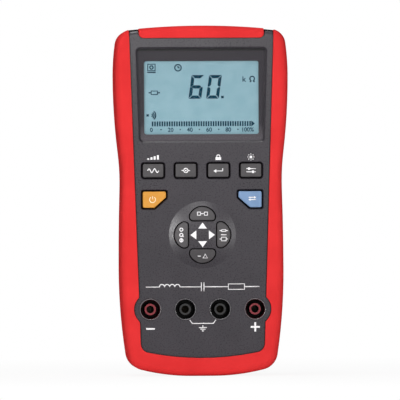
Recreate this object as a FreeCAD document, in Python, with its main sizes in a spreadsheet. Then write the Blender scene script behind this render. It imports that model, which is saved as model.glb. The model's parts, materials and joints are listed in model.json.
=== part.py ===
"""Handheld component tester, standing upright with its front towards -Y.

Lengths are millimetres. Every driving size is a cell of the sheet "Sizes".
Depths are measured towards the front: a depth of 20 lies at y = -20 and the
two halves of the case meet at depth 0.
"""
import FreeCAD, Part
import os
import re

import Sketcher

SIZES = {
    # case outline seen from the front
    "case_tall": (191.0, "overall height"),
    "case_wide": (94.4, "width at the shoulders"),
    "shoulder_drop": (27.0, "widest point below the top edge"),
    "waist_in": (7.1, "waist narrower than the shoulders"),
    "waist_level": (106.0, "height of the waist"),
    "hip_in": (5.6, "hips narrower than the shoulders"),
    "hip_level": (58.0, "height of the hips"),
    "crown_radius": (380.0, "radius of the top edge"),
    "crown_corner": (8.6, "radius of the top corners"),
    "shoulder_radius": (130.0, "side radius above the shoulders"),
    "waist_radius": (130.0, "hollow side radius at the waist"),
    "hip_radius": (310.0, "side radius below the hips"),
    "foot_corner": (10.0, "radius of the bottom corners"),
    "foot_radius": (112.0, "radius of the bottom edge"),
    "foot_flat": (12.0, "flat stretch it stands on"),
    # walls and rubber
    "bumper_front": (21.4, "depth of the front rubber face"),
    "panel_front": (20.9, "depth of the front panel face"),
    "front_round": (3.8, "front edge radius of the rubber"),
    "bumper_thick": (2.0, "rubber thickness"),
    "inner_edge": (0.5, "edge radius of the rubber along the panel"),
    "shell_wall": (2.0, "side wall of the shells"),
    "panel_wall": (2.5, "front panel thickness"),
    "groove": (0.55, "groove between rubber and panel"),
    "seam": (0.12, "half of the fine line where the rubber halves meet"),
    "strip_drop": (0.6, "panel strips below the rubber at the top edge"),
    "strip_round": (3.2, "front edge radius of those strips"),
    "rear_deep": (22.5, "depth of the back face"),
    "rear_drop": (0.3, "rear rubber below the back face"),
    "rear_round": (6.5, "rear edge radius of the rubber"),
    "rear_band": (6.5, "width of the rubber band on the back"),
    "rear_wall": (3.0, "back wall thickness"),
    "rear_hollow_round": (4.0, "inner radius along the back wall"),
    "back_edge": (0.8, "edge radius of the back face"),
    # front panel outline
    "panel_top_in": (15.2, "rubber opening narrower than the case, top edge"),
    "panel_low_side": (5.15, "rubber opening beyond the outer sockets, foot"),
    "panel_low_level": (13.7, "height of the foot corners"),
    "panel_foot_sag": (3.85, "bow of the foot edge"),
    "panel_corner": (5.0, "radius of the foot corners"),
    "ear_radius": (8.85, "round ear about each outer socket"),
    "ear_blend": (1.4, "blend of the ears"),
    "top_pad_in": (10.9, "top bumper narrower than the rubber opening"),
    "top_pad_tall": (6.75, "top bumper height"),
    "top_pad_corner": (2.6, "lower corner radius of the top bumper"),
    # window and display
    "window_in": (7.05, "window narrower than the rubber opening"),
    "window_taper": (3.3, "window narrower at its foot"),
    "window_drop": (11.6, "window below the top edge"),
    "window_low_level": (127.2, "lower edge of the window"),
    "window_corner": (2.6, "window corner radius"),
    "window_bevel": (0.9, "bevel round the window"),
    "lens_drop": (1.5, "lens below the panel"),
    "lens_thick": (1.5, "lens thickness"),
    "lens_gap": (0.12, "gap round the lens"),
    "ledge": (1.2, "ledge behind the lens"),
    "frame_extra": (1.8, "rim round the ledge"),
    "view_in": (6.3, "display opening narrower than the window foot"),
    "view_foot": (4.5, "display opening above the window foot"),
    "view_head": (7.3, "display opening below the window top"),
    "view_corner": (1.4, "corner radius of the opening"),
    "glass_lap_wide": (2.2, "display glass beyond its opening, sideways"),
    "glass_lap": (1.6, "display glass beyond its opening, up and down"),
    "glass_thick": (2.2, "display glass thickness"),
    "holder_side": (2.0, "display holder wall"),
    "holder_lip": (0.8, "lip that holds the glass"),
    "holder_slack": (0.2, "slack round the glass"),
    "holder_gap": (0.2, "holder behind the ledge"),
    "zebra_deep": (2.4, "contact strip width"),
    "light_short": (2.2, "backlight short of the display opening"),
    # boards
    "board_front": (10.5, "depth of the main board face"),
    "board_thick": (1.6, "board thickness"),
    "board_in": (20.4, "main board narrower than the case"),
    "board_rise": (15.6, "main board above the socket row"),
    "board_drop": (15.4, "main board below the top edge"),
    "post_radius": (2.7, "board posts"),
    "post_inset": (3.5, "board posts inside the board edge"),
    "post_drop": (3.9, "upper board posts below the window"),
    "post_rise": (3.6, "lower board posts above the board edge"),
    "tap_radius": (1.15, "tapped hole in a board post"),
    "tap_deep": (6.5, "tapped hole depth"),
    "board_screw_shank": (1.1, "board screw radius"),
    "board_screw_long": (7.0, "board screw length under its head"),
    "board_screw_head": (2.2, "board screw head radius"),
    "board_screw_cap": (1.4, "board screw head height"),
    "hole_slack": (0.2, "slack of a screw in its hole"),
    "socket_board_seat": (4.0, "socket board face behind the parting line"),
    "socket_board_in": (22.4, "socket board narrower than the case"),
    "socket_board_drop": (12.4, "socket board below the sockets"),
    "socket_board_lap": (6.0, "socket board behind the main board"),
    "header_wide": (20.0, "board to board header"),
    "header_tall": (2.5, "board to board header"),
    "header_rise": (3.0, "header above the main board edge"),
    "chip_wide": (14.0, "processor chip"),
    "chip_thick": (1.6, "chip height"),
    "chip_rise": (10.7, "processor chip above the pad middle"),
    "meter_chip_wide": (10.0, "measuring chip"),
    "meter_chip_in": (21.0, "measuring chip inside the board edge"),
    "meter_chip_drop": (11.3, "measuring chip below the pad middle"),
    "beeper_radius": (6.0, "beeper"),
    "beeper_thick": (4.5, "beeper height"),
    "beeper_in": (15.0, "beeper inside the board edge"),
    "beeper_rise": (14.7, "beeper above the pad middle"),
    # keys
    "key_wide": (11.3, "plain key width"),
    "key_tall": (7.3, "plain key height"),
    "row_side": (20.5, "outer plain keys inside the case edge"),
    "key_drop": (15.2, "plain key row below the window"),
    "key_corner": (0.9, "key corner radius"),
    "key_edge": (0.5, "key edge radius"),
    "key_gap": (0.75, "gap round a key"),
    "key_proud": (0.7, "key above the panel"),
    "hole_bevel": (0.4, "bevel round a key hole"),
    "corner_key_wide": (12.6, "cut-corner key width"),
    "corner_key_tall": (8.8, "cut-corner key height"),
    "corner_key_cut": (6.3, "cut corner across"),
    "corner_key_drop": (5.6, "cut corner down"),
    "mitre": (0.4, "share of a margin that shifts the ends of a cut corner"),
    "corner_key_in": (21.1, "cut-corner keys inside the case edge"),
    "corner_key_below": (15.8, "cut-corner keys below the plain keys"),
    "flange_extra": (0.8, "flange beyond the key"),
    "flange_thick": (1.0, "flange thickness"),
    "flange_gap": (0.15, "flange behind the panel"),
    "stem_radius": (2.0, "key stem"),
    "key_travel": (1.0, "key travel"),
    "travel_spare": (0.2, "room left at the end of the travel"),
    "mat_thick": (1.0, "keypad mat thickness"),
    "mat_in": (8.0, "keypad mat narrower than the board"),
    "mat_below": (17.3, "keypad mat below the pad middle"),
    "mat_above": (7.5, "keypad mat above the plain keys"),
    "mat_hole": (4.6, "mat hole at each key"),
    "snap_radius": (3.2, "snap dome radius"),
    "snap_rise": (0.4, "snap dome height"),
    # round pad with four keys
    "pad_radius": (18.3, "round pad radius"),
    "pad_rise": (2.2, "round pad height"),
    "pad_below": (19.3, "round pad middle below the cut-corner keys"),
    "lobe_inner": (7.85, "flat side of a pad key from the middle"),
    "lobe_outer": (15.3, "round side of a pad key from the middle"),
    "lobe_wide": (13.8, "pad key width"),
    "lobe_arc": (7.5, "round side radius of a pad key"),
    "lobe_corner": (1.7, "pad key corner radius"),
    "lobe_proud": (0.4, "pad key above the pad"),
    "lobe_gap": (0.55, "gap round a pad key"),
    "lobe_stem": (11.4, "pad key stem from the middle"),
    # measuring sockets
    "jack_pitch": (19.05, "socket pitch"),
    "jack_level": (36.4, "socket row"),
    "rim_radius": (6.0, "socket rim"),
    "rim_proud": (0.25, "socket rim above the panel"),
    "rim_gap": (0.1, "gap round the rim"),
    "rim_edge": (0.4, "rim edge radius"),
    "flange_radius": (7.0, "socket flange behind the panel"),
    "flange_deep": (1.3, "socket flange thickness"),
    "barrel_radius": (5.9, "socket barrel"),
    "well_radius": (5.15, "shroud well"),
    "well_floor": (3.2, "floor of the well"),
    "tube_radius": (3.1, "insulating tube"),
    "tube_drop": (1.6, "tube below the rim"),
    "tube_lip": (1.2, "lip of the tube"),
    "lip_radius": (2.1, "mouth of the tube"),
    "sleeve_radius": (2.5, "contact sleeve"),
    "plug_radius": (2.0, "plug hole"),
    "plug_deep": (19.0, "plug hole depth"),
    "sleeve_tail": (2.2, "sleeve end behind its board"),
    "slip": (0.05, "slip between socket pieces"),
    # back: stand, battery bay and fasteners
    "stand_in": (36.4, "stand narrower than the case"),
    "stand_low": (24.0, "free end of the stand"),
    "hinge_drop": (10.5, "stand hinge below the battery door"),
    "stand_barrel": (3.0, "stand hinge barrel"),
    "stand_thick": (4.0, "stand thickness"),
    "stand_drop": (0.2, "stand below the back face"),
    "stand_pin": (1.9, "stand hinge stub"),
    "stand_pin_long": (2.2, "stand hinge stub length"),
    "stand_pin_gap": (0.1, "stub in its hole"),
    "stand_gap": (0.5, "gap round the stand"),
    "stand_corner": (5.0, "free corner radius of the stand"),
    "stand_edge": (0.8, "edge radius of the stand"),
    "stand_slot_in": (28.0, "opening narrower than the stand"),
    "stand_slot_foot": (20.0, "opening above the free end of the stand"),
    "stand_slot_head": (17.0, "opening below the stand hinge"),
    "stand_slot_corner": (4.0, "corner radius of that opening"),
    "stand_floor": (2.0, "floor of the stand pocket"),
    "notch_radius": (9.0, "finger notch"),
    "bay_slack": (3.5, "battery bay wider than the battery"),
    "bay_spare": (5.6, "battery bay beyond battery and contacts"),
    "bay_drop": (10.0, "battery bay below the door top"),
    "bay_floor": (2.4, "battery bay floor"),
    "bay_wall": (1.5, "battery bay wall"),
    "battery_wide": (26.5, "battery width"),
    "battery_tall": (48.5, "battery height"),
    "battery_deep": (17.5, "battery depth"),
    "battery_corner": (2.0, "battery corner radius"),
    "stud_side": (6.35, "battery stud from the middle"),
    "stud_radius": (2.9, "battery stud"),
    "cup_radius": (4.1, "battery cup stud"),
    "stud_tall": (2.8, "battery stud height"),
    "clip_wide": (8.0, "battery contact width"),
    "clip_thick": (0.6, "battery contact thickness"),
    "clip_leg": (2.0, "battery contact leg"),
    "clip_near": (5.0, "battery contact lower end"),
    "clip_far": (17.0, "battery contact upper end"),
    "leg_slack": (0.4, "slack round a contact leg"),
    "door_lap": (6.0, "battery door wider than the bay"),
    "door_foot": (5.0, "battery door below the bay"),
    "door_drop": (13.0, "battery door below the top edge"),
    "door_thick": (2.0, "battery door thickness"),
    "door_corner": (2.5, "battery door corner radius"),
    "door_gap": (0.25, "gap round the battery door"),
    "door_rail": (1.1, "battery door rail thickness"),
    "rail_inset": (0.3, "rail inside the bay wall"),
    "rail_deep": (1.5, "rail height"),
    "rail_end": (3.0, "rail short of the bay ends"),
    "door_screw_drop": (4.5, "door screw below the door top"),
    "door_boss": (3.2, "door screw boss"),
    "screw_shank": (1.4, "case screw radius"),
    "screw_long": (10.0, "case screw length under its head"),
    "screw_head": (2.5, "case screw head radius"),
    "screw_cap": (1.8, "case screw head height"),
    "cross_long": (2.9, "cross recess length"),
    "cross_wide": (0.7, "cross recess width"),
    "cross_deep": (0.9, "cross recess depth"),
    "boss_radius": (3.0, "front screw boss"),
    "boss_upper_in": (14.2, "upper case screws inside the case edge"),
    "boss_drop": (12.0, "upper case screws below the top edge"),
    "boss_lower_in": (16.7, "lower case screws inside the case edge"),
    "boss_lower": (17.0, "lower case screws"),
    "well_wall": (1.6, "wall round a screw well"),
    "screw_well": (3.0, "screw well radius"),
    "screw_seat": (4.0, "screw head seat behind the parting line"),
    "bore_slack": (0.06, "screw in its tapped hole"),
    "sink": (1.0, "how far a post or rim sinks into the panel"),
    "past": (2.0, "how far a cutting tool runs past a face"),
}

RULES = {
    # widths follow the case width and the socket row
    "waist_wide": "case_wide - waist_in",
    "hip_wide": "case_wide - hip_in",
    "panel_top_wide": "case_wide - panel_top_in",
    "panel_low_wide": "3 * jack_pitch + 2 * panel_low_side",
    "top_pad_wide": "panel_top_wide - top_pad_in",
    "window_top_wide": "panel_top_wide - window_in",
    "window_low_wide": "window_top_wide - window_taper",
    "board_wide": "case_wide - board_in",
    "post_side": "board_wide / 2 - post_inset",
    "socket_board_wide": "case_wide - socket_board_in",
    "key_pitch": "(case_wide - 2 * row_side) / 3",
    "corner_key_side": "case_wide / 2 - corner_key_in",
    "mat_wide": "board_wide - mat_in",
    "meter_chip_side": "board_wide / 2 - meter_chip_in",
    "beeper_side": "board_wide / 2 - beeper_in",
    "stand_wide": "case_wide - stand_in",
    "stand_slot_wide": "stand_wide - stand_slot_in",
    "boss_upper_side": "case_wide / 2 - boss_upper_in",
    "boss_lower_side": "case_wide / 2 - boss_lower_in",
    # what hangs from the top edge
    "shoulder_level": "case_tall - shoulder_drop",
    "top_pad_level": "case_tall - top_pad_tall",
    "window_top_level": "case_tall - window_drop",
    "board_top": "case_tall - board_drop",
    "boss_upper": "case_tall - boss_drop",
    "door_top": "case_tall - door_drop",
    "door_screw_level": "door_top - door_screw_drop",
    # the display fills the window
    "view_wide": "window_low_wide - view_in",
    "view_tall": "window_top_level - window_low_level - view_foot - view_head",
    "view_level": "window_low_level + view_foot + view_tall / 2",
    "glass_wide": "view_wide + 2 * glass_lap_wide",
    "glass_tall": "view_tall + 2 * glass_lap",
    "holder_wide": "glass_wide + 2 * holder_slack + 2 * holder_side",
    "holder_tall": "glass_tall + 2 * holder_slack + 2 * holder_side",
    "light_tall": "view_tall - 2 * light_short",
    # the keys hang below the window
    "key_level": "window_low_level - key_drop",
    "corner_key_level": "key_level - corner_key_below",
    "pad_level": "corner_key_level - pad_below",
    "mat_low": "pad_level - mat_below",
    "mat_top": "key_level + mat_above",
    "chip_level": "pad_level + chip_rise",
    "meter_chip_level": "pad_level - meter_chip_drop",
    "beeper_level": "pad_level + beeper_rise",
    # the boards meet above the sockets
    "board_low": "jack_level + board_rise",
    "post_upper": "window_low_level - post_drop",
    "post_lower": "board_low + post_rise",
    "socket_board_low": "jack_level - socket_board_drop",
    "socket_board_top": "board_low + socket_board_lap",
    "header_level": "board_low + header_rise",
    # the bay fits the battery, the door covers the bay, the stand hangs below the door
    "bay_wide": "battery_wide + bay_slack",
    "bay_top": "door_top - bay_drop",
    "bay_low": "bay_top - battery_tall - stud_tall - clip_thick - bay_spare",
    "door_wide": "bay_wide + door_lap",
    "door_low": "bay_low - door_foot",
    "stand_axis": "door_low - hinge_drop",
    "stand_slot_low": "stand_low + stand_slot_foot",
    "stand_slot_top": "stand_axis - stand_slot_head",
}

doc = FreeCAD.newDocument("component_tester")
sheet = doc.addObject("Spreadsheet::Sheet", "Sizes")
for row, (alias, (amount, note)) in enumerate(SIZES.items(), start=1):
    sheet.set(f"A{row}", note)
    sheet.set(f"B{row}", str(amount))
    sheet.setAlias(f"B{row}", alias)
doc.recompute()

FORWARD = FreeCAD.Rotation(FreeCAD.Vector(1, 0, 0), 90)
SIDEWAYS = FreeCAD.Rotation(FreeCAD.Vector(0, 1, 0), 90)
NEAR = 1e-4


def spelled(rule):
    """Write a rule out until it names nothing but sizes of the sheet."""
    def step(word):
        name = word.group()
        return f"({spelled(RULES[name])})" if name in RULES else name
    return re.sub(r"[a-z][a-z_]*", step, rule)


def size(rule):
    """Work out a rule such as "case_wide / 2" from the sheet."""
    return float(sheet.evalExpression(spelled(rule)))


def bound(rule):
    """Write a rule so that an object outside the sheet can follow it."""
    return re.sub(
        r"[a-z][a-z_]*",
        lambda word: f"Sizes.{word.group()}" if word.group() in SIZES else word.group(),
        spelled(rule),
    )


def follow(thing, prop, rule):
    """Tie one property of an object to a rule of the sheet."""
    thing.setExpression(prop, bound(rule))


def place(thing, x="0", depth="0", z="0", turn=None):
    """Put an object at a point whose coordinates follow the sheet."""
    if turn is not None:
        thing.Placement = FreeCAD.Placement(FreeCAD.Vector(), turn)
    follow(thing, "Placement.Base.x", x)
    follow(thing, "Placement.Base.y", f"-({depth})")
    follow(thing, "Placement.Base.z", z)


def box(name, x, depth, z, wide, deep, tall):
    """A block by its low x, back depth and low z."""
    block = doc.addObject("Part::Box", name)
    follow(block, "Length", wide)
    follow(block, "Width", deep)
    follow(block, "Height", tall)
    place(block, x, f"{depth} + {deep}", z)
    return block


def rod(name, x, depth, z, radius, length, turn=FORWARD):
    """A cylinder that grows from a point, forwards unless turned."""
    bar = doc.addObject("Part::Cylinder", name)
    follow(bar, "Radius", radius)
    follow(bar, "Height", length)
    place(bar, x, depth, z, turn)
    return bar


def fuse(name, *shapes):
    """One solid from overlapping shapes."""
    union = doc.addObject("Part::MultiFuse", name)
    union.Shapes = list(shapes)
    union.Refine = True
    return union


def cut(name, base, *tools):
    """A shape with others taken out of it."""
    tool = tools[0] if len(tools) == 1 else group(f"{name}_tools", *tools)
    rest = doc.addObject("Part::Cut", name)
    rest.Base = base
    rest.Tool = tool
    rest.Refine = True
    return rest


def common(name, base, tool):
    """What two shapes share."""
    share = doc.addObject("Part::Common", name)
    share.Base = base
    share.Tool = tool
    share.Refine = True
    return share


def group(name, *shapes):
    """Separate solids kept together."""
    pack = doc.addObject("Part::Compound", name)
    pack.Links = list(shapes)
    return pack


def soften(name, base, rule, chosen):
    """Round the chosen edges of a shape."""
    doc.recompute()
    radius = size(rule)
    rounded = doc.addObject("Part::Fillet", name)
    rounded.Base = base
    rounded.Edges = [
        (index, radius, radius)
        for index, edge in enumerate(base.Shape.Edges, start=1)
        if chosen(edge)
    ]
    return rounded


def runs_along_depth(edge):
    """Whether an edge runs straight from front to back."""
    way = edge.Vertexes[-1].Point - edge.Vertexes[0].Point
    return way.Length > NEAR and abs(way.x) + abs(way.z) < NEAR


def lies_at(rule):
    """A test for edges that lie at one depth."""
    y = -size(rule)
    return lambda edge: max(abs(edge.BoundBox.YMin - y), abs(edge.BoundBox.YMax - y)) < NEAR


class Piece:
    """A body built from sketches that face the front."""

    def __init__(self, name):
        self.body = doc.addObject("PartDesign::Body", name)
        self.body.AllowCompound = True
        self.front = next(
            plane for plane in self.body.Origin.OriginFeatures if plane.Role == "XZ_Plane"
        )
        self.steps = 0

    def _sketch(self, depth):
        self.steps += 1
        sketch = self.body.newObject("Sketcher::SketchObject", f"{self.body.Name}_sketch_{self.steps}")
        sketch.AttachmentSupport = [(self.front, "")]
        sketch.MapMode = "FlatFace"
        follow(sketch, "AttachmentOffset.Base.z", depth)
        return sketch

    @staticmethod
    def _fix(sketch, kind, where, rule):
        index = sketch.addConstraint(Sketcher.Constraint(kind, *where, size(rule)))
        follow(sketch, f"Constraints[{index}]", rule)

    def _polygon(self, sketch, corners):
        first = sketch.GeometryCount
        points = [FreeCAD.Vector(size(corner[0]), size(corner[1]), 0) for corner in corners]
        count = len(points)
        for index, corner in enumerate(corners):
            start, end = points[index], points[(index + 1) % count]
            if len(corner) == 2:
                sketch.addGeometry(Part.LineSegment(start, end))
            else:
                sketch.addGeometry(self._bow(start, end, size(corner[2])))
        for index, corner in enumerate(corners):
            own, after = first + index, first + (index + 1) % count
            own_start, own_end = self._ends(sketch, own, points[index])
            after_start, _ = self._ends(sketch, after, points[(index + 1) % count])
            sketch.addConstraint(Sketcher.Constraint("Coincident", own, own_end, after, after_start))
            self._fix(sketch, "DistanceX", (-1, 1, own, own_start), corner[0])
            self._fix(sketch, "DistanceY", (-1, 1, own, own_start), corner[1])
            if len(corner) == 3:
                self._fix(sketch, "Radius", (own,), f"abs({corner[2]})")

    @staticmethod
    def _bow(start, end, radius):
        """An arc from start to end that bows right of its way, left if negative."""
        chord = end - start
        half = chord.Length / 2
        sag = abs(radius) - (radius * radius - half * half) ** 0.5
        side = FreeCAD.Vector(chord.y, -chord.x, 0).normalize()
        middle = (start + end) * 0.5 + side * (sag if radius > 0 else -sag)
        return Part.Arc(start, middle, end)

    @staticmethod
    def _ends(sketch, index, start):
        """Which end of a line or arc lies on its path's start, and the other."""
        if sketch.getPoint(index, 1).distanceToPoint(start) < NEAR:
            return 1, 2
        return 2, 1

    def _grow(self, sketch, length, feature):
        solid = self.body.newObject(feature, f"{self.body.Name}_step_{self.steps}")
        solid.Profile = sketch
        follow(solid, "Length", length)
        solid.Refine = True
        doc.recompute()
        return self

    def pad(self, low, high, *corners):
        """Add a prism between two depths over a path of corners."""
        sketch = self._sketch(low)
        self._polygon(sketch, corners)
        return self._grow(sketch, f"{high} - ({low})", "PartDesign::Pad")

    def pads(self, low, high, circles):
        """Add round prisms given as (x, z, radius)."""
        sketch = self._sketch(low)
        self._circles(sketch, circles)
        return self._grow(sketch, f"{high} - ({low})", "PartDesign::Pad")

    def pocket(self, low, high, *corners):
        """Take a prism out between two depths."""
        sketch = self._sketch(high)
        self._polygon(sketch, corners)
        return self._grow(sketch, f"{high} - ({low})", "PartDesign::Pocket")

    def pockets(self, low, high, circles):
        """Take round prisms out, given as (x, z, radius)."""
        sketch = self._sketch(high)
        self._circles(sketch, circles)
        return self._grow(sketch, f"{high} - ({low})", "PartDesign::Pocket")

    def _circles(self, sketch, circles):
        for x, z, radius in circles:
            middle = FreeCAD.Vector(size(x), size(z), 0)
            ring = Part.Circle(middle, FreeCAD.Vector(0, 0, 1), size(radius))
            index = sketch.addGeometry(ring)
            self._fix(sketch, "DistanceX", (-1, 1, index, 3), x)
            self._fix(sketch, "DistanceY", (-1, 1, index, 3), z)
            self._fix(sketch, "Radius", (index,), radius)

    def round(self, rule, chosen=runs_along_depth):
        """Round the chosen edges of the body so far."""
        return self._edge_work("PartDesign::Fillet", "Radius", rule, chosen)

    def bevel(self, rule, chosen):
        """Bevel the chosen edges of the body so far."""
        return self._edge_work("PartDesign::Chamfer", "Size", rule, chosen)

    def _edge_work(self, kind, prop, rule, chosen):
        self.steps += 1
        tip = self.body.Tip
        names = [
            f"Edge{index}"
            for index, edge in enumerate(tip.Shape.Edges, start=1)
            if chosen(edge)
        ]
        work = self.body.newObject(kind, f"{self.body.Name}_edge_{self.steps}")
        work.Base = (tip, names)
        follow(work, prop, rule)
        doc.recompute()
        return self


def block_corners(x, z, wide, tall):
    """Corners of a rectangle about a middle point."""
    left, right = f"{x} - ({wide}) / 2", f"{x} + ({wide}) / 2"
    low, high = f"{z} - ({tall}) / 2", f"{z} + ({tall}) / 2"
    return (left, low), (right, low), (right, high), (left, high)


def span_corners(half, low, high):
    """Corners of a rectangle about the middle line."""
    return (f"-({half})", low), (half, low), (half, high), (f"-({half})", high)


FINISHED = {}


def finish(name, thing):
    """Name a finished sub-part."""
    thing.Label = name
    FINISHED[name] = thing
    return thing


def pick(x, z, reach):
    """A test for edges along the depth whose sideways place is near a point."""
    def near(edge):
        middle = edge.CenterOfMass
        return runs_along_depth(edge) and abs(abs(middle.x) - x) < reach and abs(middle.z - z) < reach
    return near


def crossing(one, reach_one, two, reach_two):
    """The right-hand point at two distances from two middles."""
    way = two - one
    span = way.Length
    along = (span * span + reach_one * reach_one - reach_two * reach_two) / (2 * span)
    aside = (reach_one * reach_one - along * along) ** 0.5
    unit = way * (1 / span)
    normal = FreeCAD.Vector(-unit.z, 0, unit.x)
    foot = one + unit * along
    return max((foot + normal * aside, foot - normal * aside), key=lambda point: point.x)


def touching(middle, radius, other):
    """Where an arc meets a neighbour whose middle is given."""
    return middle + (other - middle).normalize() * radius


def case_outline(inset):
    """The case outline at depth 0, moved inwards by an inset, as tangent arcs."""
    spot = FreeCAD.Vector
    shoulder, waist, hip = size("case_wide / 2"), size("waist_wide / 2"), size("hip_wide / 2")
    upper = spot(shoulder, 0, size("shoulder_level"))
    lower = spot(hip, 0, size("hip_level"))
    narrow = spot(waist, 0, size("waist_level"))
    waist_radius = size("waist_radius")

    def flank(bulge):
        """Radius of the long side arc between a bulge and the waist."""
        step, rise = bulge.x - narrow.x, bulge.z - narrow.z
        return (step * step + rise * rise) / (2 * step) - waist_radius

    def inwards(point, radius):
        return spot(point.x - radius, 0, point.z)

    crown = spot(0, 0, size("case_tall - crown_radius"))
    above = inwards(upper, size("shoulder_radius"))
    flank_upper, flank_lower = flank(upper), flank(lower)
    below = inwards(upper, flank_upper)
    hollow = spot(waist + waist_radius, 0, narrow.z)
    hip_above = inwards(lower, flank_lower)
    hip_below = inwards(lower, size("hip_radius"))
    foot = spot(size("foot_flat / 2"), 0, size("foot_radius"))
    corner = size("crown_corner")
    toe = size("foot_corner")
    top_corner = crossing(
        crown, size("crown_radius") - corner, above, size("shoulder_radius") - corner
    )
    low_corner = crossing(
        hip_below, size("hip_radius") - toe, foot, size("foot_radius") - toe
    )

    joints = [
        spot(0, 0, size("case_tall") - inset),
        touching(crown, size("crown_radius") - inset, top_corner),
        touching(above, size("shoulder_radius") - inset, top_corner),
        spot(shoulder - inset, 0, upper.z),
        touching(below, flank_upper - inset, hollow),
        touching(hip_above, flank_lower - inset, hollow),
        spot(hip - inset, 0, lower.z),
        touching(hip_below, size("hip_radius") - inset, low_corner),
        touching(foot, size("foot_radius") - inset, low_corner),
        spot(foot.x, 0, inset),
    ]
    middles = [crown, top_corner, above, below, hollow, hip_above, hip_below, low_corner, foot]

    def mirrored(point):
        return spot(-point.x, 0, point.z)

    edges = []
    for start, end, middle in zip(joints, joints[1:], middles):
        radius = (start - middle).Length
        halfway = middle + ((start - middle) + (end - middle)).normalize() * radius
        if middle is crown:
            edges.append(Part.Arc(mirrored(end), start, end).toShape())
            continue
        edges.append(Part.Arc(start, halfway, end).toShape())
        edges.append(Part.Arc(mirrored(start), mirrored(halfway), mirrored(end)).toShape())
    edges.append(Part.LineSegment(joints[-1], mirrored(joints[-1])).toShape())
    return Part.Wire(Part.__sortEdges__(edges))


def case_block(name, inset, low, high, round_low=None, round_high=None):
    """A prism over the inset case outline between two depths, edges rounded."""
    face = Part.Face(case_outline(size(inset)))
    face.translate(FreeCAD.Vector(0, -size(low), 0))
    solid = face.extrude(FreeCAD.Vector(0, -size(f"{high} - ({low})"), 0))
    for rule, level in ((round_low, low), (round_high, high)):
        if rule is not None:
            solid = solid.makeFillet(size(rule), [edge for edge in solid.Edges if lies_at(level)(edge)])
    feature = doc.addObject("Part::Feature", name)
    feature.Shape = solid
    return feature


# front half: rubber, panel and shell

outer_front = case_block("outer_front", "0", "seam", "bumper_front", round_high="front_round")
core_front = case_block(
    "core_front", "bumper_thick", "0", "bumper_front - bumper_thick",
    round_high="front_round - bumper_thick",
)
panel_limit = case_block("panel_limit", "strip_drop", "0", "panel_front", round_high="strip_round")
hollow_front = case_block(
    "hollow_front", "bumper_thick + shell_wall", "-past", "panel_front - panel_wall"
)


def panel_prism(name, inset):
    """The panel outline drawn in by an inset, with round ears at the outer sockets."""
    top, low = f"panel_top_wide / 2 - ({inset})", f"panel_low_wide / 2 - ({inset})"
    foot = f"panel_low_level + ({inset})"
    bow = f"-(({low}) ^ 2 + panel_foot_sag ^ 2) / (2 * panel_foot_sag)"
    prism = Piece(name)
    prism.pad(
        "0", "bumper_front + past",
        (f"-({low})", foot, f"-({bow})"), (low, foot),
        (top, "case_tall + past"), (f"-({top})", "case_tall + past"),
    )
    prism.round(f"panel_corner - ({inset})", pick(size(low), size(foot), size("panel_corner")))
    ears = [(f"{side} * 1.5 * jack_pitch", "jack_level", f"ear_radius - ({inset})") for side in ("-1", "1")]
    prism.pads("0", "bumper_front + past", ears)
    reach = size("ear_radius + panel_corner")
    prism.round(f"ear_blend + ({inset})", pick(size(low), size("jack_level"), reach - size("ear_blend")))
    return prism.body


def top_prism(name, grow):
    """The outline of the top bumper, let out by a margin."""
    half, low = f"top_pad_wide / 2 + ({grow})", f"top_pad_level - ({grow})"
    prism = Piece(name)
    prism.pad("-past", "bumper_front + past", *span_corners(half, low, "case_tall + past"))
    prism.round(f"top_pad_corner + ({grow})", pick(size(half), size(low), size("groove")))
    return prism.body


def lens_prism(name, low, high, grow):
    """The tapered window outline let out by a margin, between two depths."""
    top, foot = f"window_top_wide / 2 + ({grow})", f"window_low_wide / 2 + ({grow})"
    over, under = f"window_top_level + ({grow})", f"window_low_level - ({grow})"
    prism = Piece(name)
    prism.pad(low, high, (f"-({foot})", under), (foot, under), (top, over), (f"-({top})", over))
    prism.round(f"window_corner + ({grow})")
    return prism


rubber_front = cut("rubber_front", outer_front, core_front)
panel_opening = panel_prism("panel_opening", "0")
top_region = top_prism("top_region", "0")
side_raw = cut("side_raw", rubber_front, panel_opening)
top_raw = common("top_raw", rubber_front, top_region)


def lies_on(shape, point):
    """Whether a point lies on the skin of a solid."""
    return shape.Shells[0].distToShape(Part.Vertex(point))[0] < NEAR


def borders(region):
    """A test for the outer rubber edges along a region's wall."""
    def chosen(edge):
        middle = edge.valueAt((edge.FirstParameter + edge.LastParameter) / 2)
        if lies_at("seam")(edge):
            return False
        return lies_on(outer_front.Shape, middle) and lies_on(region.Shape, middle)
    return chosen


finish("side_bumper", soften("side_bumper", side_raw, "inner_edge", borders(panel_opening)))
finish("top_bumper", soften("top_bumper", top_raw, "inner_edge", borders(top_region)))

panel_plate = cut("panel_plate", panel_prism("panel_core", "groove"), top_prism("top_slot", "groove"))
plinth = common("plinth", panel_limit, panel_plate)

ball = "(pad_radius ^ 2 + pad_rise ^ 2) / (2 * pad_rise)"


def pad_ball(name, proud):
    """The ball whose cap is the round pad, let out by a margin."""
    sphere = doc.addObject("Part::Sphere", name)
    follow(sphere, "Radius", f"{ball} + ({proud})")
    place(sphere, "0", f"panel_front + pad_rise - ({ball})", "pad_level")
    return sphere


pad_core = rod(
    "pad_core", "0", "panel_front - panel_wall / 2", "pad_level", "pad_radius", "panel_wall + pad_rise"
)
round_pad = common("round_pad", pad_core, pad_ball("pad_cap", "0"))
skin = cut("front_skin", fuse("front_mass", core_front, plinth, round_pad), hollow_front)

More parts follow.
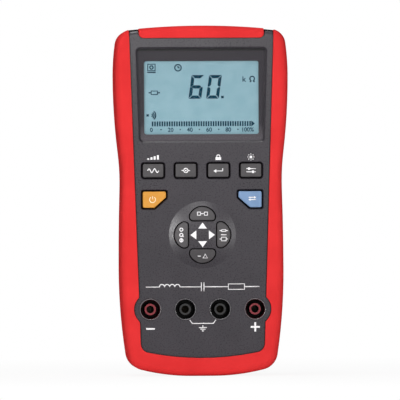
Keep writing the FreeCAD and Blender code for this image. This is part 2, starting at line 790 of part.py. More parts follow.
LENS_BACK = "panel_front - lens_drop - lens_thick"
LEDGE_BACK = f"{LENS_BACK} - ledge"
PANEL_BACK = "panel_front - panel_wall"
BOARD_BACK = "board_front - board_thick"
POSTS = [("post_side", "post_upper"), ("-post_side", "post_upper"),
         ("post_side", "post_lower"), ("-post_side", "post_lower")]
BOSSES = [("boss_upper_side", "boss_upper"), ("-boss_upper_side", "boss_upper"),
          ("boss_lower_side", "boss_lower"), ("-boss_lower_side", "boss_lower")]
JACKS = [(f"{step} * jack_pitch", "jack_level") for step in ("-1.5", "-0.5", "0.5", "1.5")]
ROW = [f"{step} * key_pitch" for step in ("-1.5", "-0.5", "0.5", "1.5")]

rim = lens_prism("window_rim", LEDGE_BACK, f"{PANEL_BACK} + sink", "frame_extra").body
posts = Piece("board_posts")
posts.pads("board_front", f"{PANEL_BACK} + sink", [(x, z, "post_radius") for x, z in POSTS])
bosses = Piece("case_bosses")
bosses.pads("0", f"{LENS_BACK} - ledge / 2", [(x, z, "boss_radius") for x, z in BOSSES[:2]])
bosses.pads("0", f"{PANEL_BACK} + sink", [(x, z, "boss_radius") for x, z in BOSSES[2:]])
inside = fuse("front_inside", skin, rim, posts.body, bosses.body)

recess = lens_prism("window_recess", LENS_BACK, "panel_front + past", "-window_bevel").body
sight = Piece("window_sight").pad(
    f"{LEDGE_BACK} - past", "panel_front", *block_corners("0", "view_level", "view_wide", "view_tall")
).round("view_corner").body
taps = Piece("front_taps")
taps.pads("board_front - past", "board_front + tap_deep", [(x, z, "tap_radius") for x, z in POSTS])
taps.pads("-past", "screw_long", [(x, z, "screw_shank + bore_slack") for x, z in BOSSES])
jack_holes = Piece("jack_holes").pads(
    f"{PANEL_BACK} - past", "panel_front + past", [(x, z, "rim_radius + rim_gap") for x, z in JACKS]
).body


def corner_key_path(side, grow):
    """A key with its lower inner corner cut off, let out by a margin."""
    x, z = f"{side} * corner_key_side", "corner_key_level"
    outer = f"{x} + {side} * (corner_key_wide / 2 + ({grow}))"
    inner = f"{x} - {side} * (corner_key_wide / 2 + ({grow}))"
    high, low = f"{z} + corner_key_tall / 2 + ({grow})", f"{z} - corner_key_tall / 2 - ({grow})"
    turn = f"{inner} + {side} * (corner_key_cut + ({grow}) * mitre)"
    rise = f"{low} + corner_key_drop + ({grow}) * mitre"
    return (outer, low), (outer, high), (inner, high), (inner, rise), (turn, low)


def lobe_path(grow):
    """A pad key above the pad's middle, let out by a margin."""
    half = f"lobe_wide / 2 + ({grow})"
    arc = f"lobe_arc + ({grow})"
    side = f"lobe_outer - lobe_arc + sqrt(({arc}) ^ 2 - ({half}) ^ 2)"
    low = f"lobe_inner - ({grow})"
    return (f"-({half})", low), (half, low), (half, side, arc), (f"-({half})", side)


LOBES = {"up": 0, "right": 90, "down": 180, "left": 270}


def turn_lobe(piece, name):
    """Turn a pad key's body to its side of the pad."""
    place(piece.body, "0", "0", "pad_level", FreeCAD.Rotation(FreeCAD.Vector(0, 1, 0), LOBES[name]))


key_holes = []
for index, x in enumerate(ROW):
    hole = Piece(f"key_hole_{index + 1}").pad(
        f"{PANEL_BACK} - past", "panel_front",
        *block_corners(x, "key_level", "key_wide + 2 * key_gap", "key_tall + 2 * key_gap"),
    ).round("key_corner + key_gap")
    key_holes.append(hole.body)
for side, name in (("-1", "left"), ("1", "right")):
    hole = Piece(f"corner_hole_{name}").pad(
        f"{PANEL_BACK} - past", "panel_front", *corner_key_path(side, "key_gap")
    ).round("key_corner")
    key_holes.append(hole.body)
for name in LOBES:
    hole = Piece(f"lobe_hole_{name}").pad(
        f"{PANEL_BACK} - past", "panel_front + pad_rise + past", *lobe_path("lobe_gap")
    ).round("lobe_corner + lobe_gap")
    turn_lobe(hole, name)
    key_holes.append(hole.body)

pierced = cut("front_pierced", inside, recess, sight, taps.body, jack_holes, *key_holes)
doc.recompute()


def rings_key(edge):
    """Whether an edge of the panel face goes round one of the six flat keys."""
    middle = edge.CenterOfMass
    high = size("key_level + key_tall / 2 + 2 * key_gap")
    low = size("corner_key_level - corner_key_tall / 2 - 2 * key_gap")
    reach = size("corner_key_side + corner_key_wide / 2 + 2 * key_gap")
    inside_row = low < middle.z < high and abs(middle.x) < reach
    return lies_at("panel_front")(edge) and inside_row and edge.Length < size("key_wide + key_tall")


def rings_window(edge):
    """Whether an edge of the panel face goes round the window."""
    middle = edge.CenterOfMass
    inside_levels = size("window_low_level") < middle.z < size("window_top_level")
    return lies_at("panel_front")(edge) and inside_levels and abs(middle.x) < size("window_top_wide / 2")


bevelled = doc.addObject("Part::Chamfer", "front_shell")
bevelled.Base = pierced
bevelled.Edges = [
    (index, size(bevel), size(bevel))
    for rings, bevel in ((rings_key, "hole_bevel"), (rings_window, "window_bevel"))
    for index, edge in enumerate(pierced.Shape.Edges, start=1)
    if rings(edge)
]
finish("front_shell", bevelled)
finish("window_lens", lens_prism(
    "window_lens", LENS_BACK, "panel_front - lens_drop", "-window_bevel - lens_gap"
).body)

# display stack

HOLDER_FRONT = f"{LEDGE_BACK} - holder_gap"
GLASS_FRONT = f"{HOLDER_FRONT} - holder_lip"
GLASS_BACK = f"{GLASS_FRONT} - glass_thick"
POCKET_WIDE = "glass_wide + 2 * holder_slack"
POCKET_TALL = "glass_tall + 2 * holder_slack"

holder = Piece("lcd_holder").pad(
    "board_front", HOLDER_FRONT, *block_corners("0", "view_level", "holder_wide", "holder_tall")
)
holder.pocket("board_front", GLASS_FRONT, *block_corners("0", "view_level", POCKET_WIDE, POCKET_TALL))
holder.pocket("board_front", HOLDER_FRONT, *block_corners("0", "view_level", "view_wide", "view_tall"))
finish("lcd_holder", holder.body)
finish("lcd_glass", Piece("lcd_glass").pad(
    GLASS_BACK, GLASS_FRONT, *block_corners("0", "view_level", "glass_wide", "glass_tall")
).body)
finish("backlight", Piece("backlight").pad(
    "board_front", GLASS_BACK, *block_corners("0", "view_level", "view_wide", "light_tall")
).body)
zebra = Piece("zebra_strips")
for way in ("-1", "1"):
    row_level = f"view_level + {way} * (glass_tall - zebra_deep) / 2"
    zebra.pad("board_front", GLASS_BACK, *block_corners("0", row_level, "view_wide", "zebra_deep"))
finish("zebra_strips", zebra.body)

# keys, mat and snap domes

FLANGE_FRONT = f"{PANEL_BACK} - flange_gap"
FLANGE_BACK = f"{FLANGE_FRONT} - flange_thick"
STEM_END = "board_front + snap_rise + key_travel + travel_spare"


def flat_key(name, path, flange, stem):
    """A key with a flange behind the panel and a stem over its snap dome."""
    crest = "panel_front + key_proud"
    key = Piece(name).pad(FLANGE_FRONT, crest, *path).round("key_corner")
    key.round("key_edge", lies_at(crest))
    key.pad(FLANGE_BACK, FLANGE_FRONT, *flange)
    key.pads(STEM_END, FLANGE_BACK, [(*stem, "stem_radius")])
    return finish(name, key.body)


KEY_SPOTS = []
for index, x in enumerate(ROW):
    flat_key(
        f"key_{index + 1}",
        block_corners(x, "key_level", "key_wide", "key_tall"),
        block_corners(x, "key_level", "key_wide + 4 * flange_extra", "key_tall + 4 * flange_extra"),
        (x, "key_level"),
    )
    KEY_SPOTS.append((x, "key_level"))
for side, name in (("-1", "power_key"), ("1", "mode_key")):
    spot = (f"{side} * corner_key_side", "corner_key_level")
    flat_key(name, corner_key_path(side, "0"), corner_key_path(side, "2 * flange_extra"), spot)
    KEY_SPOTS.append(spot)
for name in LOBES:
    crest = "panel_front + pad_rise + past"
    lobe = Piece(f"lobe_{name}").pad(FLANGE_FRONT, crest, *lobe_path("0")).round("lobe_corner")
    turn_lobe(lobe, name)
    cap = common(f"cap_{name}", lobe.body, pad_ball(f"ball_{name}", "lobe_proud"))
    doc.recompute()
    floor = -size(FLANGE_FRONT) - size("panel_wall")

    def on_crown(edge, floor=floor):
        """Whether an edge goes round the key's domed face."""
        return edge.BoundBox.YMax < floor

    soft = soften(f"soft_{name}", cap, "key_edge", on_crown)
    base = Piece(f"base_{name}")
    base.pad(FLANGE_BACK, FLANGE_FRONT, *lobe_path("flange_extra")).round("lobe_corner")
    base.pads(STEM_END, FLANGE_BACK, [("0", "lobe_stem", "stem_radius")])
    turn_lobe(base, name)
    finish(f"{name}_key", fuse(f"{name}_key", soft, base.body))
KEY_SPOTS += [
    ("0", "pad_level + lobe_stem"), ("lobe_stem", "pad_level"),
    ("0", "pad_level - lobe_stem"), ("-lobe_stem", "pad_level"),
]

mat = Piece("keypad_mat").pad(
    "board_front", "board_front + mat_thick", *span_corners("mat_wide / 2", "mat_low", "mat_top")
)
mat.pockets("board_front", "board_front + mat_thick", [(x, z, "mat_hole") for x, z in KEY_SPOTS])
finish("keypad_mat", mat.body)
snaps = Piece("snap_domes").pads(
    "board_front", "board_front + snap_rise", [(x, z, "snap_radius") for x, z in KEY_SPOTS]
)
finish("snap_domes", snaps.body)

# boards and what stands on them


def screw(name, x, z, seat, shank, long, head, cap):
    """A screw driven forwards, its head behind the seat, with a cross recess."""
    core = rod(f"{name}_shank", x, seat, z, shank, long)
    crown = rod(f"{name}_head", x, f"{seat} - ({cap})", z, head, cap)
    back = f"{seat} - ({cap})"
    slots = [
        box(
            f"{name}_slot_{way}",
            f"{x} - ({wide}) / 2",
            back,
            f"{z} - ({tall}) / 2",
            wide,
            "cross_deep",
            tall,
        )
        for way, wide, tall in (
            ("wide", "cross_long", "cross_wide"),
            ("tall", "cross_wide", "cross_long"),
        )
    ]
    return cut(name, fuse(f"{name}_body", core, crown), fuse(f"{name}_cross", *slots))


board = Piece("main_board").pad(
    BOARD_BACK, "board_front", *span_corners("board_wide / 2", "board_low", "board_top")
)
board.pockets(BOARD_BACK, "board_front", [(x, z, "board_screw_shank + hole_slack") for x, z in POSTS])
finish("main_board", board.body)
finish("board_screws", group("board_screws", *[
    screw(f"board_screw_{index + 1}", x, z, BOARD_BACK, "board_screw_shank",
          "board_screw_long", "board_screw_head", "board_screw_cap")
    for index, (x, z) in enumerate(POSTS)
]))
finish("processor_chip", Piece("processor_chip").pad(
    f"{BOARD_BACK} - chip_thick", BOARD_BACK, *block_corners("0", "chip_level", "chip_wide", "chip_wide")
).body)
finish("meter_chip", Piece("meter_chip").pad(
    f"{BOARD_BACK} - chip_thick", BOARD_BACK,
    *block_corners("meter_chip_side", "meter_chip_level", "meter_chip_wide", "meter_chip_wide"),
).body)
finish("beeper", Piece("beeper").pads(
    f"{BOARD_BACK} - beeper_thick", BOARD_BACK, [("-beeper_side", "beeper_level", "beeper_radius")]
).body)
SEAT = "-socket_board_seat"
socket_board = Piece("socket_board").pad(
    f"{SEAT} - board_thick", SEAT,
    *span_corners("socket_board_wide / 2", "socket_board_low", "socket_board_top"),
)
socket_board.pockets(
    f"{SEAT} - board_thick", SEAT, [(x, z, "sleeve_radius + slip") for x, z in JACKS]
)
finish("socket_board", socket_board.body)
finish("board_header", Piece("board_header").pad(
    SEAT, BOARD_BACK, *block_corners("0", "header_level", "header_wide", "header_tall")
).body)

# measuring sockets

RIM_FRONT = "panel_front + rim_proud"
TUBE_FRONT = f"{RIM_FRONT} - tube_drop"
SLEEVE_FRONT = f"{TUBE_FRONT} - tube_lip"
WELL_LOW = f"{SEAT} + well_floor"
for index, (x, z) in enumerate(JACKS):
    shell = Piece(f"jack_body_{index + 1}").pads(f"{PANEL_BACK} - rim_gap", RIM_FRONT, [(x, z, "rim_radius")])
    shell.pads(
        f"{PANEL_BACK} - rim_gap - flange_deep", f"{PANEL_BACK} - rim_gap", [(x, z, "flange_radius")]
    )
    shell.pads(SEAT, f"{PANEL_BACK} - rim_gap - flange_deep", [(x, z, "barrel_radius")])
    shell.pockets(WELL_LOW, RIM_FRONT, [(x, z, "well_radius")])
    shell.pockets(SEAT, WELL_LOW, [(x, z, "tube_radius + slip")])
    shell.bevel("rim_edge", lies_at(RIM_FRONT))
    finish(f"jack_body_{index + 1}", shell.body)
    tube = Piece(f"jack_tube_{index + 1}").pads(SEAT, TUBE_FRONT, [(x, z, "tube_radius")])
    tube.pockets(SEAT, SLEEVE_FRONT, [(x, z, "sleeve_radius + slip")])
    tube.pockets(SLEEVE_FRONT, TUBE_FRONT, [(x, z, "lip_radius")])
    finish(f"jack_tube_{index + 1}", tube.body)
    sleeve = Piece(f"jack_contact_{index + 1}").pads(
        f"{SEAT} - board_thick - sleeve_tail", SLEEVE_FRONT, [(x, z, "sleeve_radius")]
    )
    sleeve.pockets(f"{SLEEVE_FRONT} - plug_deep", SLEEVE_FRONT, [(x, z, "plug_radius")])
    finish(f"jack_contact_{index + 1}", sleeve.body)

# rear half: rubber, shell, stand and battery bay

BACK = "-rear_deep"
outer_rear = case_block("outer_rear", "0", f"{BACK} + rear_drop", "-seam", round_low="rear_round")
core_rear = case_block(
    "core_rear", "bumper_thick", f"{BACK} + rear_drop + bumper_thick", "0",
    round_low="rear_round - bumper_thick",
)
rear_opening = case_block("rear_opening", "rear_band", f"{BACK} - past", "past")
rear_plate = case_block("rear_plate", "rear_band + groove", BACK, "0", round_low="back_edge")
hollow_rear = case_block(
    "hollow_rear", "bumper_thick + shell_wall", f"{BACK} + rear_wall", "past",
    round_low="rear_hollow_round",
)
finish("rear_bumper", cut("rear_bumper", outer_rear, core_rear, rear_opening))

INNER_BACK = f"{BACK} + rear_wall"
AXIS = f"{BACK} + stand_drop + stand_barrel"
POCKET_FLOOR = f"{AXIS} + stand_barrel + stand_gap"
POCKET_HALF = "stand_wide / 2 + stand_gap"
POCKET_TOP = "stand_axis + stand_barrel + stand_gap"
POCKET_LOW = "stand_low - stand_gap"
BAY_HALF = "bay_wide / 2"
DOOR_SEAT = f"{BACK} + door_thick"

rear_skin = cut("rear_skin", fuse("rear_mass", core_rear, rear_plate), hollow_rear)
wall_half = f"{POCKET_HALF} + stand_pin_long + stand_floor"
lining = Piece("rear_lining").pad(
    f"{INNER_BACK} - rear_wall / 2", f"{POCKET_FLOOR} + stand_floor",
    *span_corners(wall_half, f"{POCKET_LOW} - stand_floor", f"{POCKET_TOP} + stand_floor"),
)
lining.pads(
    f"{INNER_BACK} - rear_wall / 2", f"{POCKET_FLOOR} + stand_floor",
    [("0", POCKET_LOW, "notch_radius + stand_floor")],
)
lining.pad(
    f"{INNER_BACK} - rear_wall / 2", "-bay_floor + bay_wall",
    *span_corners(f"{BAY_HALF} + bay_wall", "bay_low - bay_wall", "bay_top + bay_wall"),
)
lining.pad(
    f"{INNER_BACK} - rear_wall / 2", f"{DOOR_SEAT} + door_thick",
    *span_corners("door_wide / 2 + bay_wall", "door_low - bay_wall", "door_top + bay_wall"),
)
lining.pads(
    f"{INNER_BACK} - rear_wall / 2", f"{DOOR_SEAT} + screw_long",
    [("0", "door_screw_level", "door_boss")],
)
lining.pads(
    f"{INNER_BACK} - rear_wall / 2", "0", [(x, z, "screw_well + well_wall") for x, z in BOSSES]
)
rear_full = fuse("rear_full", rear_skin, lining.body)

pockets = Piece("rear_pockets").pad(
    f"{BACK} - past", POCKET_FLOOR, *span_corners(POCKET_HALF, POCKET_LOW, POCKET_TOP)
)
pockets.round("stand_corner + stand_gap", pick(size(POCKET_HALF), size(POCKET_LOW), size("stand_gap")))
pockets.pads(f"{BACK} - past", POCKET_FLOOR, [("0", POCKET_LOW, "notch_radius")])
bay = Piece("bay_room").pad(f"{BACK} - past", "-bay_floor", *span_corners(BAY_HALF, "bay_low", "bay_top"))
door_room = Piece("door_room").pad(
    f"{BACK} - past", DOOR_SEAT,
    *span_corners("door_wide / 2 + door_gap", "door_low - door_gap", "door_top + door_gap"),
).round("door_corner + door_gap")
bores = Piece("rear_bores")
bores.pads(f"{BACK} - past", "-screw_seat", [(x, z, "screw_well") for x, z in BOSSES])
bores.pads("-screw_seat - past", "past", [(x, z, "screw_shank + hole_slack") for x, z in BOSSES])
bores.pads(
    f"{DOOR_SEAT} - past", f"{DOOR_SEAT} + screw_long - bay_wall",
    [("0", "door_screw_level", "screw_shank + bore_slack")],
)
CLIP_LOW = "bay_low + battery_tall + stud_tall"
for way in ("-1", "1"):
    bores.pad(
        "-bay_floor - past", "past",
        *block_corners(f"{way} * stud_side", f"{CLIP_LOW} + clip_thick / 2",
                       "clip_leg + 2 * leg_slack", "clip_thick + 2 * leg_slack"),
    )
hinge_bore = rod(
    "hinge_bore", f"-({POCKET_HALF}) - stand_pin_long - stand_pin_gap", AXIS, "stand_axis",
    "stand_pin + stand_pin_gap", f"2 * ({POCKET_HALF} + stand_pin_long + stand_pin_gap)", SIDEWAYS,
)
finish("rear_shell", cut(
    "rear_shell", rear_full, pockets.body, bay.body, door_room.body, bores.body, hinge_bore
))

STAND_BACK = f"{BACK} + stand_drop"
plate = Piece("stand_plate").pad(
    STAND_BACK, f"{STAND_BACK} + stand_thick", *span_corners("stand_wide / 2", "stand_low", "stand_axis")
)
plate.round("stand_corner", pick(size("stand_wide / 2"), size("stand_low"), size("stand_gap")))
slot = Piece("stand_slot").pad(
    f"{STAND_BACK} - past", f"{STAND_BACK} + stand_thick + past",
    *span_corners("stand_slot_wide / 2", "stand_slot_low", "stand_slot_top"),
).round("stand_slot_corner")
barrel = rod(
    "stand_roll", "-stand_wide / 2", AXIS, "stand_axis", "stand_barrel", "stand_wide", SIDEWAYS
)
stubs = rod(
    "stand_stubs", f"-({POCKET_HALF}) - stand_pin_long", AXIS, "stand_axis", "stand_pin",
    f"2 * ({POCKET_HALF} + stand_pin_long)", SIDEWAYS,
)
stand_raw = cut("stand_raw", fuse("stand_mass", plate.body, barrel, stubs), slot.body)


def stand_rim(edge):
    """Whether an edge goes round the outer face of the stand."""
    return lies_at(STAND_BACK)(edge) and edge.CenterOfMass.z < size("stand_axis - stand_barrel")


finish("tilt_stand", soften("tilt_stand", stand_raw, "stand_edge", stand_rim))

battery = Piece("battery_block").pad(
    "-bay_floor - battery_deep", "-bay_floor",
    *span_corners("battery_wide / 2", "bay_low", "bay_low + battery_tall"),
)
stud_depth = "-bay_floor - battery_deep / 2"
studs = [
    rod(f"battery_stud_{name}", f"{way} * stud_side", stud_depth, "bay_low + battery_tall",
        radius, "stud_tall", FreeCAD.Rotation())
    for name, way, radius in (("post", "-1", "stud_radius"), ("cup", "1", "cup_radius"))
]
case_only = soften(
    "battery_case", battery.body, "battery_corner",
    lambda edge: abs(edge.Length - size("battery_tall")) < size("slip"),
)
finish("battery", fuse("battery_whole", case_only, *studs))
clips = Piece("battery_contacts")
for way in ("-1", "1"):
    level = f"{CLIP_LOW} + clip_thick / 2"
    hook = block_corners(f"{way} * stud_side", level, "clip_wide", "clip_thick")
    leg = block_corners(f"{way} * stud_side", level, "clip_leg", "clip_thick")
    clips.pad("-clip_far", "-clip_near", *hook)
    clips.pad("-clip_near", BOARD_BACK, *leg)
finish("battery_contacts", clips.body)

door = Piece("door_plate").pad(BACK, DOOR_SEAT, *span_corners("door_wide / 2", "door_low", "door_top"))
door.round("door_corner").round("back_edge / 2", lies_at(BACK))
for way in ("-1", "1"):
    rail = f"{way} * ({BAY_HALF} - rail_inset - door_rail / 2)"
    door.pad(
        DOOR_SEAT, f"{DOOR_SEAT} + rail_deep",
        *block_corners(rail, "(bay_low + bay_top) / 2", "door_rail", "bay_top - bay_low - 2 * rail_end"),
    )
door.pockets(BACK, DOOR_SEAT, [("0", "door_screw_level", "screw_shank + hole_slack")])
door.pockets(BACK, f"{BACK} + door_thick / 2", [("0", "door_screw_level", "screw_well")])
finish("battery_door", door.body)
finish("door_screw", screw(
    "door_screw", "0", "door_screw_level", f"{BACK} + door_thick / 2", "screw_shank",
    "screw_long - screw_cap", "screw_head", "door_thick / 2"
))
finish("case_screws", group("case_screws", *[
    screw(f"case_screw_{index + 1}", x, z, "-screw_seat", "screw_shank",
          "screw_long + screw_seat - screw_cap", "screw_head", "screw_cap")
    for index, (x, z) in enumerate(BOSSES)
]))


os.makedirs("parts", exist_ok=True)
doc.recompute()
for thing in doc.Objects:
    if {"Invalid", "Error"} & set(thing.State):
        raise RuntimeError(f"{thing.Label} did not build: {thing.State}")
for name, thing in FINISHED.items():
    if thing.Shape.isNull() or not thing.Shape.isValid():
        raise RuntimeError(f"{name} has no sound shape")
    thing.Shape.exportStep(f"parts/{name}.step")
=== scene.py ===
"""Looks of the handheld component tester: finishes, prints, display and studio round the CAD frame."""

from __future__ import annotations

import json
import logging
import math
from collections.abc import Callable
from dataclasses import dataclass, field
from enum import Enum

import bmesh
import bpy
from mathutils import Matrix, Vector

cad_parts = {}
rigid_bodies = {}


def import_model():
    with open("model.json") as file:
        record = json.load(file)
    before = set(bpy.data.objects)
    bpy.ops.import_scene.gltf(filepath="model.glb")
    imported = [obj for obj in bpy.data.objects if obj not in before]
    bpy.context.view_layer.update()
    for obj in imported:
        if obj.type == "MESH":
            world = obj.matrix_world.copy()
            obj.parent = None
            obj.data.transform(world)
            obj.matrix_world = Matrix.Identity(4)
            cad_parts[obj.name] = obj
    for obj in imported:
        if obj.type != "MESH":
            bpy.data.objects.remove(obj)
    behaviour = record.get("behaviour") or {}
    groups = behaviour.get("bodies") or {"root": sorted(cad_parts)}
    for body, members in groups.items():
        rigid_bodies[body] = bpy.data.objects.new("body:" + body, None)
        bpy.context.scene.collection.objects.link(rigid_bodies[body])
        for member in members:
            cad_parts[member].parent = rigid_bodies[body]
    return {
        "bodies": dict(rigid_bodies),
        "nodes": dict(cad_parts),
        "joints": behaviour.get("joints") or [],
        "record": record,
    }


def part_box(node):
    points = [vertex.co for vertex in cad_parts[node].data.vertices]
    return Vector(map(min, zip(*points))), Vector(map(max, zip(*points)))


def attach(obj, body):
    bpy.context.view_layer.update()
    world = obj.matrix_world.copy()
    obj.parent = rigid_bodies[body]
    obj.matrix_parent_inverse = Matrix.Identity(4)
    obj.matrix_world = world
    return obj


LOG = logging.getLogger("tester")
MM = 0.001
CASE = "case"
KEYS = range(1, 5)
JACKS = range(1, 5)
OUTER_JACKS = (1, 4)
# depth of the front panel's face before the middle of the case
PANEL_MM = 20.9
# height of a figure in Blender's own font, as a share of its size
FIGURE_SHARE = 0.73
# points nearer than these are one: ends of a path, corners of a mesh
NEAR_MM = 1e-6
WELD_MM = 1e-5
# sockets of a colour mix: its share, its two colours and its result
MIX_SHARE, MIX_LOW, MIX_HIGH, MIX_RESULT = 0, 6, 7, 2
# stretch of a noise pattern that holds most of its values
PATCH_RANGE = (0.35, 0.65)
GRAIN_RANGE = (0.25, 0.75)

# cosine and sine of the four quarter turns
QUARTERS = ((1, 0), (0, 1), (-1, 0), (0, -1))

# millimetres to the right and upwards, a line of such places, and a surface's depth at each of them
Place = tuple[float, float]
Path = list[Place]
Depth = Callable[[float, float], float]


def linear(code: str) -> tuple[float, float, float, float]:
    """Turn an sRGB hex colour into linear RGBA.

    Args:
        code: colour as #rrggbb.

    Returns:
        The four linear channels, opaque.
    """
    shares = [int(code[i : i + 2], 16) / 255 for i in (1, 3, 5)]
    red, green, blue = (s / 12.92 if s <= 0.04045 else ((s + 0.055) / 1.055) ** 2.4 for s in shares)
    return red, green, blue, 1.0


def add(
    tree: bpy.types.NodeTree, kind: str, inputs: dict[str | int, object] | None = None, **settings: object
) -> bpy.types.Node:
    """Add one shader node with its settings, values and links.

    Args:
        tree: node tree that gets the node.
        kind: Blender's name of the node type.
        inputs: value or linked output socket by input name or place.
        settings: properties of the node.

    Returns:
        The new node.
    """
    made = tree.nodes.new(kind)
    for key, value in settings.items():
        setattr(made, key, value)
    for socket, value in (inputs or {}).items():
        if isinstance(value, bpy.types.NodeSocket):
            tree.links.new(value, made.inputs[socket])
        else:
            made.inputs[socket].default_value = value
    return made


@dataclass(frozen=True)
class Finish:
    """A surface with grain, patches of colour and a gloss that both of them break up."""

    name: str
    colour: str
    shade: str
    roughness: float
    grain_mm: float = 0.8
    grain_depth_mm: float = 0.012
    patch_mm: float = 9.0
    gloss_spread: float = 0.08
    metallic: float = 0.0
    ior: float = 1.5
    coat: float = 0.0
    alpha: float = 1.0
    glow: float = 0.0
    patch_detail: float = 3.0
    grain_detail: float = 2.0

    def colours(self, tree: bpy.types.NodeTree, place: bpy.types.NodeSocket) -> bpy.types.NodeSocket:
        """Mix the two colours in soft patches.

        Args:
            tree: node tree of the material.
            place: object coordinates.

        Returns:
            The colour output.
        """
        cloud = {"Vector": place, "Scale": 1 / (self.patch_mm * MM), "Detail": self.patch_detail}
        patches = add(tree, "ShaderNodeTexNoise", cloud).outputs["Fac"]
        low, high = PATCH_RANGE
        reach = {"Value": patches, "From Min": low, "From Max": high}
        share = add(tree, "ShaderNodeMapRange", reach).outputs["Result"]
        colours = {MIX_SHARE: share, MIX_LOW: linear(self.shade), MIX_HIGH: linear(self.colour)}
        return add(tree, "ShaderNodeMix", colours, data_type="RGBA").outputs[MIX_RESULT]

    def grain(self, tree: bpy.types.NodeTree, place: bpy.types.NodeSocket) -> bpy.types.NodeSocket:
        """Make the height field of the surface.

        Args:
            tree: node tree of the material.
            place: object coordinates.

        Returns:
            The height output, 0 to 1.
        """
        cloud = {"Vector": place, "Scale": 1 / (self.grain_mm * MM), "Detail": self.grain_detail}
        return add(tree, "ShaderNodeTexNoise", cloud).outputs["Fac"]

    def material(self) -> bpy.types.Material:
        """Build the material once and hand it out from then on.

        Returns:
            The material.
        """
        found = bpy.data.materials.get(self.name)
        if found is not None:
            return found
        made = bpy.data.materials.new(self.name)
        made.use_nodes = True
        tree = made.node_tree
        shader = tree.nodes["Principled BSDF"]
        place = add(tree, "ShaderNodeTexCoord").outputs["Object"]
        height = self.grain(tree, place)
        bump = add(tree, "ShaderNodeBump", {"Height": height, "Distance": self.grain_depth_mm * MM})
        low, high = GRAIN_RANGE
        spread = {
            "Value": height,
            "From Min": low,
            "From Max": high,
            "To Min": self.roughness - self.gloss_spread,
            "To Max": self.roughness + self.gloss_spread,
        }
        gloss = add(tree, "ShaderNodeMapRange", spread)
        colour = self.colours(tree, place)
        tree.links.new(colour, shader.inputs["Base Color"])
        tree.links.new(gloss.outputs["Result"], shader.inputs["Roughness"])
        tree.links.new(bump.outputs["Normal"], shader.inputs["Normal"])
        shader.inputs["Metallic"].default_value = self.metallic
        shader.inputs["IOR"].default_value = self.ior
        shader.inputs["Coat Weight"].default_value = self.coat
        shader.inputs["Alpha"].default_value = self.alpha
        # a glow is painted light on a surface that is no lamp
        if self.glow:
            tree.links.new(colour, shader.inputs["Emission Color"])
            shader.inputs["Emission Strength"].default_value = self.glow
        self.complete(tree, place, shader)
        return made

    def complete(self, tree: bpy.types.NodeTree, place: bpy.types.NodeSocket, shader: bpy.types.Node) -> None:
        """Add what one kind of finish has and the others lack.

        Args:
            tree: node tree of the material.
            place: object coordinates.
            shader: the surface shader.
        """


@dataclass(frozen=True)
class Laminate(Finish):
    """Board laminate: green lacquer over a faint net of copper tracks."""

    track_mm: float = 2.6

    def grain(self, tree: bpy.types.NodeTree, place: bpy.types.NodeSocket) -> bpy.types.NodeSocket:
        """Raise the tracks as the edges of square cells."""
        cells = {"Vector": place, "Scale": 1 / (self.track_mm * MM)}
        return add(tree, "ShaderNodeTexVoronoi", cells, distance="CHEBYCHEV").outputs["Distance"]


@dataclass(frozen=True)
class Graded(Finish):
    """A print paler at its foot, a painted reflection, and darker under its upper edge, a painted shadow."""

    # colour of the painted shadow under the upper edge
    painted_shadow: str = "#0b0a0b"
    # heights above the case's foot between which each passage lies
    painted_reflection_mm: tuple[float, float] = (0.0, 1.0)
    painted_shadow_mm: tuple[float, float] = (2.0, 3.0)

    def colours(self, tree: bpy.types.NodeTree, place: bpy.types.NodeSocket) -> bpy.types.NodeSocket:
        """Mix the colours by height: the painted reflection at the foot, the painted shadow under the upper
        edge.

        Args:
            tree: node tree of the material.
            place: object coordinates.

        Returns:
            The colour output.
        """
        height = add(tree, "ShaderNodeSeparateXYZ", {"Vector": place}).outputs["Z"]
        mixed = linear(self.shade)
        for (low, high), upper in ((self.painted_reflection_mm, self.colour), (self.painted_shadow_mm, self.painted_shadow)):
            reach = {"Value": height, "From Min": low * MM, "From Max": high * MM}
            share = add(tree, "ShaderNodeMapRange", reach).outputs["Result"]
            colours = {MIX_SHARE: share, MIX_LOW: mixed, MIX_HIGH: linear(upper)}
            mixed = add(tree, "ShaderNodeMix", colours, data_type="RGBA").outputs[MIX_RESULT]
        return mixed


@dataclass(frozen=True)
class SkirtShaded(Finish):
    """Key rubber whose skirt below the panel's face is painted dull black: the shade in the gaps round it."""

    skirt_shade: str = "#131213"
    skirt_shade_mm: float = 20.3
    cap_gloss: float = 0.5

    def complete(self, tree: bpy.types.NodeTree, place: bpy.types.NodeSocket, shader: bpy.types.Node) -> None:
        """Paint shade on the skirt: blacken it and take its gloss away.

        Args:
            tree: node tree of the material.
            place: object coordinates.
            shader: the surface shader.
        """
        depth = add(tree, "ShaderNodeSeparateXYZ", {"Vector": place}).outputs["Y"]
        inputs = {0: depth, 1: -self.skirt_shade_mm * MM}
        cap = add(tree, "ShaderNodeMath", inputs, operation="LESS_THAN").outputs[0]
        cap_colour = shader.inputs["Base Color"].links[0].from_socket
        colours = {MIX_SHARE: cap, MIX_LOW: linear(self.skirt_shade), MIX_HIGH: cap_colour}
        both = add(tree, "ShaderNodeMix", colours, data_type="RGBA")
        gloss = add(tree, "ShaderNodeMath", {0: cap, 1: self.cap_gloss}, operation="MULTIPLY")
        tree.links.new(both.outputs[MIX_RESULT], shader.inputs["Base Color"])
        tree.links.new(gloss.outputs[0], shader.inputs["Specular IOR Level"])


@dataclass(frozen=True)
class Brushed(Finish):
    """Drawn or plated metal with fine lines along its length."""

    stretch: float = 14.0

    def grain(self, tree: bpy.types.NodeTree, place: bpy.types.NodeSocket) -> bpy.types.NodeSocket:
        """Stretch the noise along the depth of the case."""
        long = add(tree, "ShaderNodeMapping", {"Vector": place, "Scale": (1.0, 1 / self.stretch, 1.0)})
        return super().grain(tree, long.outputs["Vector"])


# grain that is too fine to show in a picture of the whole is drawn as coarse as it needs to show

